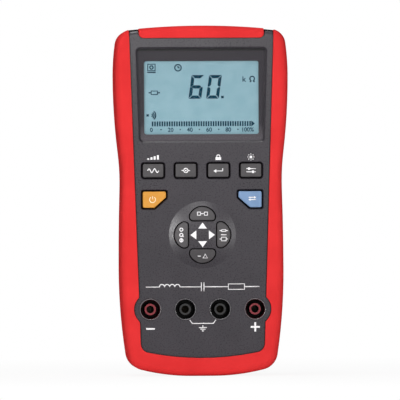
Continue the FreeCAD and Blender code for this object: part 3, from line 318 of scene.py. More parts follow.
# spark-eroded ABS: a purple-grey matt skin that scatters light and hides finger marks
GREY_ABS = Finish(
    "spark_eroded_abs", colour="#2e2a30", shade="#29252b", roughness=0.30, ior=1.41,
    grain_mm=0.7, grain_depth_mm=0.020, patch_mm=14.0,
)
# matt thermoplastic rubber: saturated red without gloss, shaded by its rounds alone
RED_TPE = Finish(
    "matt_tpe_red", colour="#db3536", shade="#d33132", roughness=0.48, ior=1.0,
    grain_mm=0.9, grain_depth_mm=0.010, patch_mm=18.0,
)
# cast acrylic: nearly unseen, only a faint cool gloss
CLEAR_ACRYLIC = Finish(
    "cast_acrylic", colour="#20282b", shade="#1c2326", roughness=0.06, ior=1.49, alpha=0.07,
    grain_mm=3.0, grain_depth_mm=0.001, patch_mm=20.0, gloss_spread=0.02,
)
# back-printed ink on the lens: dark grey, paled along the foot by a painted reflection, nearly black under
# the upper edge in painted shadow
LENS_INK = Graded(
    "lens_back_print", colour="#2f2b31", shade="#5a555b", roughness=0.35, ior=1.25,
    grain_mm=1.2, grain_depth_mm=0.002, painted_reflection_mm=(129.0, 138.0), painted_shadow_mm=(176.9, 177.7),
)
# reflective display cell: pale blue-green with the cloudiness of the mirror film behind it, and a weak
# painted glow that brightens it
DISPLAY_GLASS = Finish(
    "display_cell", colour="#93b9c5", shade="#8ab1be", roughness=0.30, ior=1.3, glow=0.06,
    grain_mm=1.1, grain_depth_mm=0.001, patch_mm=7.0, gloss_spread=0.04,
)
# liquid-crystal segments: dark teal, slightly uneven where the cell is lit through
SEGMENT = Finish(
    "display_segment", colour="#0a3448", shade="#104054", roughness=0.45, ior=1.15,
    grain_mm=0.6, grain_depth_mm=0.001, patch_mm=2.0, gloss_spread=0.04,
)
# black ABS of the inner frame: dull black with a soft edge gloss
BLACK_ABS = Finish(
    "black_abs", colour="#1d1c1e", shade="#18171a", roughness=0.50, ior=1.42,
    grain_mm=0.8, grain_depth_mm=0.010,
)
# foam rubber of the case seal: dead black
# dead black strips that stand for the shade where the panel strips meet the back half: painted shade
SHADOW_BLACK = Finish(
    "painted_shadow_black", colour="#0d0c0d", shade="#090809", roughness=0.80, ior=1.1,
    grain_mm=0.4, grain_depth_mm=0.010,
)
# diffusing acrylic of the backlight: milky white
MILKY_ACRYLIC = Finish(
    "milky_acrylic", colour="#e9eef0", shade="#dfe6ea", roughness=0.40,
    grain_mm=1.6, grain_depth_mm=0.004,
)
# carbon-filled rubber of the display contacts: fine pink and black stripes
CONTACT_RUBBER = Brushed(
    "contact_rubber", colour="#c98f96", shade="#3a3436", roughness=0.60,
    grain_mm=0.5, grain_depth_mm=0.010, patch_mm=0.6,
)
# glass-fibre board under green lacquer: tracks show as a raised net
BOARD = Laminate(
    "lacquered_laminate", colour="#1f6b3c", shade="#175730", roughness=0.36,
    grain_depth_mm=0.020, patch_mm=5.0,
)
# zinc-plated steel: pale, slightly yellow, fine turning lines
ZINC_STEEL = Brushed(
    "zinc_plated_steel", colour="#c4c5c0", shade="#aaa9a2", roughness=0.32, metallic=1.0,
    grain_mm=0.25, grain_depth_mm=0.004, patch_mm=2.0,
)
# moulded epoxy of the chips: charcoal, grainy
CHIP_EPOXY = Finish(
    "chip_epoxy", colour="#242427", shade="#1d1d20", roughness=0.60,
    grain_mm=0.3, grain_depth_mm=0.008, patch_mm=4.0,
)
# silicone rubber of the mat: dark grey with a dull sheen
MAT_SILICONE = Finish(
    "silicone_mat", colour="#3d3a3c", shade="#373436", roughness=0.46, ior=1.41,
    grain_mm=0.8, grain_depth_mm=0.008, patch_mm=5.0,
)
# silicone rubber of the keys: dull coloured caps over a skirt painted black as the shade that outlines them
GREY_SILICONE = SkirtShaded(
    "silicone_grey", colour="#3d3a3c", shade="#373436", roughness=0.46, ior=1.41,
    grain_mm=0.8, grain_depth_mm=0.008, patch_mm=5.0,
)
ORANGE_SILICONE = SkirtShaded(
    "silicone_orange", colour="#d3943a", shade="#cc8b32", roughness=0.46, ior=1.30,
    grain_mm=0.8, grain_depth_mm=0.008, patch_mm=5.0,
)
BLUE_SILICONE = SkirtShaded(
    "silicone_blue", colour="#7894b8", shade="#708cb0", roughness=0.46, ior=1.30,
    grain_mm=0.8, grain_depth_mm=0.008, patch_mm=5.0,
)
# spring steel: bright, smooth, slightly warm
SPRING_STEEL = Brushed(
    "spring_steel", colour="#cfcac0", shade="#b9b3a8", roughness=0.24, metallic=1.0,
    grain_mm=0.3, grain_depth_mm=0.003, patch_mm=3.0,
)
# lacquered can of the battery: dark wrap with a satin coat
BATTERY_CAN = Finish(
    "battery_wrap", colour="#33373d", shade="#2b2f34", roughness=0.35, coat=0.3,
    grain_mm=1.0, grain_depth_mm=0.003, patch_mm=12.0,
)
# polyamide of the inner sockets' wells: deep black, hardly any gloss
BLACK_PA = Finish(
    "polyamide_black", colour="#0c0b0d", shade="#080709", roughness=0.28, ior=1.24,
    grain_mm=0.6, grain_depth_mm=0.006, patch_mm=4.0,
)
# polyamide of the outer sockets' wells: black with a painted red reflection of the tubes in them
RED_REFLECTION_PA = Finish(
    "polyamide_painted_red_reflection", colour="#3a0a10", shade="#30080d", roughness=0.28, ior=1.20,
    grain_mm=0.6, grain_depth_mm=0.006, patch_mm=4.0,
)
# polyamide of the inner tubes: black with enough gloss to show as a grey ring
TUBE_PA = Finish(
    "polyamide_tube", colour="#151416", shade="#111012", roughness=0.28, ior=1.46,
    grain_mm=0.6, grain_depth_mm=0.006, patch_mm=4.0,
)
# glossy polyamide of the rims, painted pale grey: a thin ring of painted highlight round each socket
RIM_HIGHLIGHT_PA = Finish(
    "polyamide_painted_highlight", colour="#6a676b", shade="#5f5c60", roughness=0.18, ior=1.5,
    grain_mm=0.6, grain_depth_mm=0.002, patch_mm=4.0,
)
# polyamide of the outer tubes: dull dark red
RED_PA = Finish(
    "polyamide_red", colour="#80262f", shade="#742029", roughness=0.40, ior=1.36,
    grain_mm=0.6, grain_depth_mm=0.006, patch_mm=4.0,
)
# nickel on brass, painted dark bronze grey as the shade deep in the sockets
NICKEL_BRASS = Brushed(
    "nickel_on_brass", colour="#38342e", shade="#26231e", roughness=0.40, metallic=1.0,
    grain_mm=0.3, grain_depth_mm=0.004, patch_mm=1.2,
)
# screen-printed white ink: opaque film with a slightly uneven thickness
WHITE_INK = Finish(
    "screen_ink_white", colour="#f2f0f1", shade="#e8e6e8", roughness=0.45,
    grain_mm=0.5, grain_depth_mm=0.003, patch_mm=2.0,
)
# screen-printed cream ink of the orange key: softer than white
PALE_INK = Finish(
    "screen_ink_pale", colour="#fbe3c0", shade="#f7dab2", roughness=0.45,
    grain_mm=0.5, grain_depth_mm=0.003, patch_mm=2.0,
)


def arc(x: float, z: float, radius: float, start: float, end: float, steps: int = 20) -> Path:
    """Points along an arc.

    Args:
        x: centre to the right, mm.
        z: centre upwards, mm.
        radius: radius, mm.
        start: first angle in degrees, counted from the right, upwards.
        end: last angle in degrees.
        steps: pieces of the arc.

    Returns:
        The points in order.
    """
    angles = [math.radians(start + (end - start) * i / steps) for i in range(steps + 1)]
    return [(x + radius * math.cos(a), z + radius * math.sin(a)) for a in angles]


def ring(x: float, z: float, radius: float) -> Path:
    """A closed circle."""
    return arc(x, z, radius, 0, 360)


def bar(x: float, z: float, wide: float, tall: float) -> Path:
    """A closed upright rectangle round a centre."""
    left, right, low, top = x - wide / 2, x + wide / 2, z - tall / 2, z + tall / 2
    return [(left, low), (right, low), (right, top), (left, top), (left, low)]


def rounded(corners: Path, radius: float, steps: int = 6) -> Path:
    """A closed outline whose corners are rounded.

    Args:
        corners: the sharp corners, anticlockwise, mm.
        radius: distance that each corner is cut back, mm.
        steps: pieces of each round.

    Returns:
        The points in order, the first repeated at the end.
    """
    outline: Path = []
    for i, corner in enumerate(corners):
        here = Vector(corner)
        before = here + (Vector(corners[i - 1]) - here).normalized() * radius
        after = here + (Vector(corners[(i + 1) % len(corners)]) - here).normalized() * radius
        for k in range(steps + 1):
            t = k / steps
            point = before * (1 - t) ** 2 + here * (2 * t * (1 - t)) + after * t**2
            outline.append((point.x, point.y))
    return [*outline, outline[0]]


@dataclass
class Marks:
    """Line art in millimetres: strokes of the ink's own width, and filled outlines."""

    strokes: list[Path] = field(default_factory=list)
    fills: list[Path] = field(default_factory=list)

    def moved(self, x: float, z: float, scale: float = 1.0) -> Marks:
        """The same art at another place.

        Args:
            x: shift to the right, mm.
            z: shift upwards, mm.
            scale: size against the drawn one.

        Returns:
            The moved copy.
        """
        strokes, fills = (
            [[(px * scale + x, pz * scale + z) for px, pz in path] for path in paths]
            for paths in (self.strokes, self.fills)
        )
        return Marks(strokes, fills)

    def __add__(self, other: Marks) -> Marks:
        """Both arts together."""
        return Marks(self.strokes + other.strokes, self.fills + other.fills)


class Glyph(Enum):
    """Generic signs of the keys and the display, each drawn a few millimetres wide round its middle."""

    WAVE = "wave"
    TARGET = "target"
    RETURN = "return"
    SLIDERS = "sliders"
    STEPS = "steps"
    LOCK = "lock"
    SUN = "sun"
    SWAP = "swap"
    POWER = "power"
    LINK = "link"
    NETWORK = "network"
    DELTA = "delta"
    RINGS = "rings"
    OHM = "ohm"
    TRAY = "tray"
    CLOCK = "clock"
    RESISTOR = "resistor"
    SOUND = "sound"

    def marks(self) -> Marks:
        """Draw the sign.

        Returns:
            Its line art round the middle.
        """
        return getattr(self, f"_{self.value}")()

    def _wave(self) -> Marks:
        """One and a half periods of a sine wave."""
        return Marks([[(x / 10, 1.0 * math.sin(x / 10 * math.pi / 1.5)) for x in range(-30, 31)]])

    def _target(self) -> Marks:
        """A ring with a dot and two side ticks."""
        return Marks([ring(0, 0, 1.15), [(-2.3, 0), (-1.15, 0)], [(1.15, 0), (2.3, 0)]], [ring(0, 0, 0.4)])

    def _return(self) -> Marks:
        """An arrow that turns back to the left."""
        return Marks(
            [[(2.3, 1.1), (2.3, -0.3), (-1.6, -0.3)]],
            [[(-2.7, -0.3), (-1.2, 0.7), (-1.2, -1.3), (-2.7, -0.3)]],
        )

    def _sliders(self) -> Marks:
        """Two lines with a handle on each."""
        handles = ((-1.1, 0.85), (1.1, -0.85))
        return Marks([[(-2.6, z), (2.6, z)] for _, z in handles], [bar(x, z, 1.1, 1.4) for x, z in handles])

    def _steps(self) -> Marks:
        """Bars of rising height."""
        heights = [0.7, 1.2, 1.7, 2.2]
        return Marks([], [bar(-2.4 + 1.6 * i, tall / 2 - 1.1, 0.95, tall) for i, tall in enumerate(heights)])

    def _lock(self) -> Marks:
        """A padlock."""
        shackle = [(-0.75, -0.1), *arc(0, 0.4, 0.75, 180, 0, 12), (0.75, -0.1)]
        return Marks([shackle], [bar(0, -0.7, 2.8, 1.4)])

    def _sun(self) -> Marks:
        """A disc with eight rays."""
        ways = [(math.cos(i * math.pi / 4), math.sin(i * math.pi / 4)) for i in range(8)]
        return Marks([[(r * x, r * z) for r in (1.25, 1.7)] for x, z in ways], [ring(0, 0, 0.7)])

    def _swap(self) -> Marks:
        """Two arrows that point opposite ways."""
        upper = Marks([[(-2.0, 0.6), (1.2, 0.6)]], [[(2.2, 0.6), (1.0, 1.35), (1.0, -0.15), (2.2, 0.6)]])
        return upper + upper.moved(0.0, 0.0, -1.0)

    def _power(self) -> Marks:
        """A broken ring with a stroke through its gap."""
        return Marks([arc(0, 0, 1.6, 125, 415), [(0, 0.3), (0, 2.0)]])

    def _link(self) -> Marks:
        """Two boxes joined by a line."""
        return Marks([[(-1.0, 0), (1.0, 0)], bar(-1.9, 0, 1.7, 1.7), bar(1.9, 0, 1.7, 1.7)])

    def _network(self) -> Marks:
        """One resistor above a line, a larger one below it.

        Returns:
            Its line art round the middle.
        """
        above = [bar(0, 2.3, 2.2, 1.0), [(-2.3, 2.3), (-1.1, 2.3)], [(1.1, 2.3), (2.3, 2.3)]]
        below = [bar(0, -2.3, 2.6, 2.0), [(-2.3, -2.3), (-1.3, -2.3)], [(1.3, -2.3), (2.3, -2.3)]]
        return Marks([*above, [(-1.6, 0), (1.6, 0)], *below])

    def _delta(self) -> Marks:
        """A dash and an open triangle."""
        return Marks([[(-2.7, 0), (-1.0, 0)], [(0.2, -1.0), (2.6, -1.0), (1.4, 1.1), (0.2, -1.0)]])

    def _rings(self) -> Marks:
        """Three small rings in a column, two of them with a stroke."""
        rings = [ring(0, z, 0.85) for z in (2.9, 0, -2.9)]
        return Marks([*rings, [(0.3, -0.3), (1.3, -1.0)], [(0, -4.1), (0, -1.7)]])

    def _ohm(self) -> Marks:
        """The unit of resistance: a round open at its foot."""
        round_top = arc(0, 0.1, 1.25, 240, -60)
        return Marks([[(-1.4, -1.5), (-0.7, -1.5), *round_top, (0.7, -1.5), (1.4, -1.5)]])

    def _tray(self) -> Marks:
        """A box with a ring in it, on a line."""
        return Marks([bar(0, 0.5, 4.0, 3.6), [(-2.3, -2.2), (2.3, -2.2)], ring(0, 0.5, 0.9)])

    def _clock(self) -> Marks:
        """A ring with two hands."""
        return Marks([ring(0, 0, 1.75), [(0, 1.0), (0, 0), (0.9, 0)]])

    def _resistor(self) -> Marks:
        """A box with a lead on each side."""
        return Marks([bar(0, 0, 3.4, 1.9), [(-3.1, 0), (-1.7, 0)], [(1.7, 0), (3.1, 0)]])

    def _sound(self) -> Marks:
        """A small box and three arcs that spread from it."""
        return Marks([arc(0.2, 0, r, -50, 50, 8) for r in (1.1, 2.0, 2.9)], [bar(-1.3, 0, 1.3, 1.3)])


@dataclass(frozen=True)
class Ink:
    """How a print lies on its surface."""

    finish: Finish
    stroke_mm: float = 0.45
    thick_mm: float = 0.03
    lift_mm: float = 0.01
    bold_mm: float = 0.06

    def curve(self, name: str, paths: list[Path], filled: bool) -> bpy.types.Mesh:
        """Turn paths into a flat mesh in the XY plane.

        Args:
            name: name of the curve.
            paths: outlines or strokes in mm.
            filled: True to fill the outlines, False to stroke the lines.

        Returns:
            The mesh, in mm.
        """
        curve = bpy.data.curves.new(name, "CURVE")
        curve.dimensions = "2D" if filled else "3D"
        for path in paths:
            closed = math.dist(path[0], path[-1]) < NEAR_MM
            points = path[:-1] if closed else path
            spline = curve.splines.new("POLY")
            spline.points.add(len(points) - 1)
            for point, (x, z) in zip(spline.points, points):
                point.co = (x, z, 0.0, 1.0)
            spline.use_cyclic_u = closed
        if filled:
            curve.fill_mode = "BOTH"
            curve.extrude = self.thick_mm / 2
        else:
            curve.bevel_depth = self.stroke_mm / 2
            curve.bevel_resolution = 1
            curve.use_fill_caps = True
        holder = bpy.data.objects.new(name, curve)
        mesh = bpy.data.meshes.new_from_object(holder)
        bpy.data.objects.remove(holder)
        bpy.data.curves.remove(curve)
        if not filled:
            mesh.transform(Matrix.Diagonal((1, 1, self.thick_mm / self.stroke_mm, 1)))
        return mesh

    def words(self, body: str, x: float, z: float, tall_mm: float) -> bpy.types.Mesh:
        """Turn plain characters into a flat mesh in the XY plane.

        Args:
            body: the characters.
            x: middle of the line, mm.
            z: foot of the line, mm.
            tall_mm: height of a figure.

        Returns:
            The mesh, in mm.
        """
        text = bpy.data.curves.new(body, "FONT")
        text.body = body
        text.align_x = "CENTER"
        text.size = tall_mm / FIGURE_SHARE
        text.extrude = self.thick_mm / 2
        text.offset = self.bold_mm
        holder = bpy.data.objects.new(body, text)
        mesh = bpy.data.meshes.new_from_object(holder)
        bpy.data.objects.remove(holder)
        bpy.data.curves.remove(text)
        mesh.transform(Matrix.Translation((x, z, 0)))
        return mesh

    def lay(
        self,
        name: str,
        marks: Marks,
        depth: Depth,
        body: str,
        slot: str,
        extra: tuple[bpy.types.Mesh, ...] = (),
    ) -> bpy.types.Object:
        """Lay art on a surface that faces the front.

        Args:
            name: name of the piece.
            marks: the art, mm to the right of and above the frame's origin.
            depth: depth of the surface towards the front at a place, mm.
            body: CAD body that carries the print.
            slot: not used.
            extra: more flat meshes of the same print.

        Returns:
            The new piece.
        """
        flat = list(extra)
        if marks.strokes:
            flat.append(self.curve(name, marks.strokes, False))
        if marks.fills:
            flat.append(self.curve(name, marks.fills, True))
        bm = bmesh.new()
        for mesh in flat:
            bm.from_mesh(mesh)
            bpy.data.meshes.remove(mesh)
        bmesh.ops.remove_doubles(bm, verts=bm.verts, dist=WELD_MM)
        for vert in bm.verts:
            x, z, rise = vert.co
            vert.co = (x * MM, -(depth(x, z) + self.lift_mm + self.thick_mm / 2 + rise) * MM, z * MM)
        bmesh.ops.recalc_face_normals(bm, faces=bm.faces)
        return keep(bm, name, self.finish, body)


def keep(bm: bmesh.types.BMesh, name: str, finish: Finish, body: str) -> bpy.types.Object:
    """Turn a finished bmesh into a piece of the part.

    Args:
        bm: the mesh in metres, in the frame; it is freed.
        name: name of the piece.
        finish: its surface.
        body: CAD body that carries it.

    Returns:
        The new piece.
    """
    mesh = bpy.data.meshes.new(name)
    bm.to_mesh(mesh)
    bm.free()
    piece = bpy.data.objects.new(name, mesh)
    bpy.context.scene.collection.objects.link(piece)
    mesh.materials.append(finish.material())
    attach(piece, body)
    LOG.info("made %s on %s", name, body)
    return piece


def middle(node: str) -> tuple[float, float, float]:
    """Place of a CAD node's front.

    Args:
        node: name of the node.

    Returns:
        Middle to the right and upwards, and depth of its front, mm.
    """
    low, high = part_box(node)
    return (low.x + high.x) / 2 / MM, (low.z + high.z) / 2 / MM, -low.y / MM


def level(depth: float) -> Depth:
    """A flat surface at one depth."""
    return lambda x, z: depth


class SubAssembly:
    """Pieces that belong together and the finish of each CAD node among them."""

    finishes: dict[str, Finish]

    def dress(self, nodes: dict[str, bpy.types.Object]) -> None:
        """Give each CAD node its finish.

        Args:
            nodes: CAD objects by name.
        """
        for name, finish in self.finishes.items():
            slots = nodes[name].data.materials
            slots.clear()
            slots.append(finish.material())
            LOG.info("dressed %s in %s", name, finish.name)

    def build(self) -> None:
        """Make the pieces that the CAD leaves to this script."""


@dataclass
class Case(SubAssembly):
    """Shells, rubber and screws, with the prints of the front panel."""

    sign_drop_mm: float = 10.55
    plus_rise_mm: float = 0.75
    # length and thickness of the strokes
    minus_mm: tuple[float, float] = (4.8, 0.88)
    plus_mm: tuple[float, float] = (5.1, 1.0)
    # half width and drop of the bracket at its line and at its tips
    bracket_half_mm: tuple[float, float] = (5.7, 7.1)
    bracket_drop_mm: tuple[float, float] = (7.75, 5.8)
    earth_drop_mm: float = 10.0
    # half widths of the earth sign's bars, from the top
    earth_half_mm: tuple[float, ...] = (2.2, 1.4, 0.6)
    earth_step_mm: float = 0.9
    earth_stem_mm: float = 1.2
    symbols_rise_mm: float = 12.2
    symbols_half_mm: float = 31.0
    coil_start_mm: float = -22.2
    coil_radius_mm: float = 1.4
    coil_turns: int = 4
    plates_half_gap_mm: float = 0.7
    plate_half_mm: float = 2.4
    resistor_place_mm: float = 18.4
    resistor_mm: tuple[float, float] = (8.8, 3.0)
    # inner and outer edge of the panel strips beside the top pad
    strip_ends_mm: tuple[float, float] = (34.35, 39.05)
    strip_top_mm: float = 190.4
    strip_round_mm: float = 3.2
    # radius of the top edge's curve
    crown_mm: float = 380.0
    shadow_strip_rise_mm: float = 0.55
    # where the shadow strip's crest starts and ends before the parting plane
    shadow_strip_deep_mm: tuple[float, float] = (0.05, 1.4)
    shadow_strip_skin_mm: float = 0.05
    shadow_strip_end_deg: float = 50.0
    shadow_strip_steps: int = 8
    ink: Ink = Ink(WHITE_INK, stroke_mm=0.55)
    finishes: dict[str, Finish] = field(
        default_factory=lambda: {
            "front_shell": GREY_ABS,
            "rear_shell": GREY_ABS,
            "side_bumper": RED_TPE,
            "top_bumper": RED_TPE,
            "rear_bumper": RED_TPE,
            "case_screws": ZINC_STEEL,
        }
    )

    def build(self) -> None:
        """Print the sockets' signs and the row of part symbols, and lay the strips of painted shade."""
        self.shadow_strip("left", -1)
        self.shadow_strip("right", 1)
        left, low, _ = middle("jack_body_1")
        right, _, _ = middle("jack_body_4")
        line, tip = self.bracket_half_mm
        far, near = self.bracket_drop_mm
        bracket = [(-tip, low - near), (-line, low - far), (line, low - far), (tip, low - near)]
        sign = low - self.sign_drop_mm
        long, thick = (side / 2 for side in self.plus_mm)
        corner = [(thick, thick), (thick, long), (-thick, long)]
        plus = [(x * c - z * s, x * s + z * c) for c, s in QUARTERS for x, z in corner]
        drops = [-self.earth_step_mm * i for i in range(len(self.earth_half_mm))]
        bars = [[(-half, drop), (half, drop)] for half, drop in zip(self.earth_half_mm, drops)]
        earth = Marks([*bars, [(0, 0), (0, self.earth_stem_mm)]])
        prints = {
            "print_minus": Marks([], [bar(left, sign, *self.minus_mm)]),
            "print_plus": Marks([], [[*plus, plus[0]]]).moved(right, sign + self.plus_rise_mm),
            "print_bracket": Marks([bracket]),
            "print_earth": earth.moved(0.0, low - self.earth_drop_mm),
            "print_symbols": self.symbols().moved(0.0, low + self.symbols_rise_mm),
        }
        for name, marks in prints.items():
            self.ink.lay(name, marks, level(PANEL_MM), CASE, "grey_abs")

    def shadow_strip(self, side: str, way: int) -> None:
        """Lay a black strip of painted shade where a panel strip meets the back half.

        Args:
            side: name of the side.
            way: -1 for the left, 1 for the right.
        """
        near, far = self.shadow_strip_deep_mm
        skin, end, bend = self.shadow_strip_skin_mm, self.shadow_strip_end_deg, PANEL_MM - self.strip_round_mm
        edge, side_edge = self.strip_ends_mm
        top, side_top = (self.strip_top_mm - x**2 / (2 * self.crown_mm) for x in self.strip_ends_mm)
        heart = top - self.strip_round_mm
        outer = arc(bend, heart, self.strip_round_mm + skin, 90, end, self.shadow_strip_steps)
        inner = arc(bend, heart, self.strip_round_mm - skin, end, 90, self.shadow_strip_steps)
        crest = [(near, top + self.shadow_strip_rise_mm), (far, top + self.shadow_strip_rise_mm), (far, top + skin)]
        profile = [*crest, *outer, *inner, (near, top - skin)]
        bm = bmesh.new()
        face = bm.faces.new([bm.verts.new((way * edge, -depth, z)) for depth, z in profile])
        made = bmesh.ops.extrude_face_region(bm, geom=[face])["geom"]
        drawn = [part for part in made if isinstance(part, bmesh.types.BMVert)]
        bmesh.ops.translate(bm, vec=(way * (side_edge - edge), 0.0, side_top - top), verts=drawn)
        bmesh.ops.recalc_face_normals(bm, faces=bm.faces)
        bmesh.ops.scale(bm, vec=(MM, MM, MM), verts=bm.verts)
        keep(bm, f"seal_{side}", SHADOW_BLACK, CASE)

    def symbols(self) -> Marks:
        """Coil, capacitor and resistor on one line.

        Returns:
            The line art round the middle of the row.
        """
        half, gap, plate = self.symbols_half_mm, self.plates_half_gap_mm, self.plate_half_mm
        radius, box, (wide, tall) = self.coil_radius_mm, self.resistor_place_mm, self.resistor_mm
        coil: Path = [(-half, 0)]
        for i in range(self.coil_turns):
            coil += arc(self.coil_start_mm + 2 * radius * i, 0, radius, 180, 0, 10)
        coil.append((-gap, 0))
        plates = [[(x, -plate), (x, plate)] for x in (-gap, gap)]
        before, after = [(gap, 0), (box - wide / 2, 0)], [(box + wide / 2, 0), (half, 0)]
        return Marks([coil, *plates, before, bar(box, 0, wide, tall), after])


@dataclass
class Display(SubAssembly):
    """Lens, display stack and what the display shows."""

    view_mm: tuple[float, float] = (62.55, 39.9)
    view_drop_mm: float = 0.2
    view_corner_mm: float = 1.4
    digit_mm: tuple[float, float] = (7.0, 12.9)
    segment_mm: float = 1.75
    segment_gap_mm: float = 0.22
    slant: float = 0.14
    # place of each figure and its segments that are on
    figures: tuple[tuple[float, str], ...] = ((-2.6, "acdefg"), (7.0, "abcdef"))
    figures_rise_mm: float = 5.7
    point_mm: Place = (11.6, 0.1)
    point_side_mm: float = 1.4
    scale_drop_mm: float = 14.4
    scale_mm: float = 54.6
    scale_bars: int = 41
    scale_bar_share: float = 0.64
    scale_bar_mm: float = 2.7
    tip_long_mm: float = 1.9
    tip_half_mm: float = 1.7
    numbers: tuple[str, ...] = ("0", "20", "40", "60", "80", "100%")
    number_pitch_mm: float = 10.5
    number_mm: float = 2.3
    number_drop_mm: float = 4.3
    dash_half_mm: float = 0.35
    dash_drop_mm: float = 3.1
    # places of the signs from the display's middle
    sign_places: tuple[tuple[Glyph, Place], ...] = (
        (Glyph.OHM, (27.9, 10.0)),
        (Glyph.TRAY, (-27.1, 15.9)),
        (Glyph.CLOCK, (-12.6, 16.2)),
        (Glyph.RESISTOR, (-25.6, 2.6)),
        (Glyph.SOUND, (-28.0, -9.7)),
    )
    prefix_mm: Place = (23.4, 8.5)
    prefix_tall_mm: float = 3.0
    ink: Ink = Ink(SEGMENT, stroke_mm=0.66, thick_mm=0.02, bold_mm=0.07)
    border: Ink = Ink(LENS_INK, lift_mm=0.02)
    border_taper_mm: float = 1.65
    border_corner_mm: float = 1.7
    finishes: dict[str, Finish] = field(
        default_factory=lambda: {
            "window_lens": CLEAR_ACRYLIC,
            "lcd_glass": DISPLAY_GLASS,
            "lcd_holder": BLACK_ABS,
            "backlight": MILKY_ACRYLIC,
            "zebra_strips": CONTACT_RUBBER,
        }
    )

    def build(self) -> None:
        """Print the lens border and draw the segments that are on."""
        self.print_border()
        _, mid, front = middle("lcd_glass")
        face = level(front)
        digits = Marks()
        for place, shown in self.figures:
            digits += self.digit(shown).moved(place, mid + self.figures_rise_mm)
        right, rise = self.point_mm
        digits += Marks([], [bar(right, mid + rise, self.point_side_mm, self.point_side_mm)])
        self.ink.lay("display_reading", digits, face, CASE, "display_glass")
        self.scale(mid - self.scale_drop_mm, face)
        self.signs(mid, face)

    def print_border(self) -> None:
        """Print the dark frame on the back of the lens, open over the display."""
        low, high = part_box("window_lens")
        mid = middle("lcd_glass")[1] - self.view_drop_mm
        wide, tall = (side / 2 for side in self.view_mm)
        top, foot = high.x / MM, high.x / MM - self.border_taper_mm
        under, over = low.z / MM, high.z / MM
        outer = [(foot, under), (top, over), (-top, over), (-foot, under)]
        inner = [(wide, mid - tall), (wide, mid + tall), (-wide, mid + tall), (-wide, mid - tall)]
        frame = Marks([], [rounded(outer, self.border_corner_mm), rounded(inner, self.view_corner_mm)])
        self.border.lay("lens_border", frame, level(-high.y / MM), CASE, "clear_acrylic")

    def digit(self, shown: str) -> Marks:
        """One slanted seven-segment figure round its middle.

        Args:
            shown: letters of the segments that are on, a at the top and g in the middle.

        Returns:
            The filled segments.
        """
        wide, tall = self.digit_mm
        half, w, t, gap = tall / 2, wide / 2, self.segment_mm, self.segment_gap_mm
        flat = [(-w + gap, half), (w - gap, half), (w - t - gap, half - t), (-w + t + gap, half - t)]
        tip = [(w, gap), (w - t / 2, gap / 2), (w - t, t / 2 + gap)]
        post = [(w, half - gap), *tip, (w - t, half - t - gap)]
        upper = [(-w + t, t / 2), (w - t, t / 2), (w - t / 2, 0)]
        beam = upper + [(-x, -z) for x, z in upper]
        sides = {
            "a": flat,
            "b": post,
            "c": [(x, -z) for x, z in post],
            "d": [(x, -z) for x, z in flat],
            "e": [(-x, -z) for x, z in post],
            "f": [(-x, z) for x, z in post],
            "g": beam,
        }
        closed = [[*sides[s], sides[s][0]] for s in shown]
        return Marks([], [[(x + z * self.slant, z) for x, z in path] for path in closed])

    def scale(self, foot: float, face: Depth) -> None:
        """The bar graph with its plain numbers.

        Args:
            foot: height of the bar's middle, mm.
            face: depth of the display's front.
        """
        step = self.scale_mm / self.scale_bars
        left, tip = -self.scale_mm / 2, self.scale_mm / 2
        wide, tall = step * self.scale_bar_share, self.scale_bar_mm
        bars = [bar(left + step * (i + 0.5), foot, wide, tall) for i in range(self.scale_bars)]
        half, apex = self.tip_half_mm, (tip + self.tip_long_mm, foot)
        arrow = [(tip, foot - half), apex, (tip, foot + half), (tip, foot - half)]
        self.ink.lay("display_bars", Marks([], [*bars, arrow]), face, CASE, "display_glass")
        places = [left + self.number_pitch_mm * i for i in range(len(self.numbers))]
        base = foot - self.number_drop_mm
        texts = tuple(self.ink.words(n, x, base, self.number_mm) for n, x in zip(self.numbers, places))
        ends = (-self.dash_half_mm, self.dash_half_mm)
        middles = [x + self.number_pitch_mm / 2 for x in places[:-1]]
        dashes = Marks([[(x + end, foot - self.dash_drop_mm) for end in ends] for x in middles])
        self.ink.lay("display_numbers", dashes, face, CASE, "display_glass", texts)

    def signs(self, mid: float, face: Depth) -> None:
        """The unit with its prefix, and the small signs round the reading.

        Args:
            mid: height of the display's middle, mm.
            face: depth of the display's front.
        """
        signs = Marks()
        for glyph, (x, rise) in self.sign_places:
            signs += glyph.marks().moved(x, mid + rise)
        x, rise = self.prefix_mm
        prefix = self.ink.words("k", x, mid + rise, self.prefix_tall_mm)
        self.ink.lay("display_signs", signs, face, CASE, "display_glass", (prefix,))


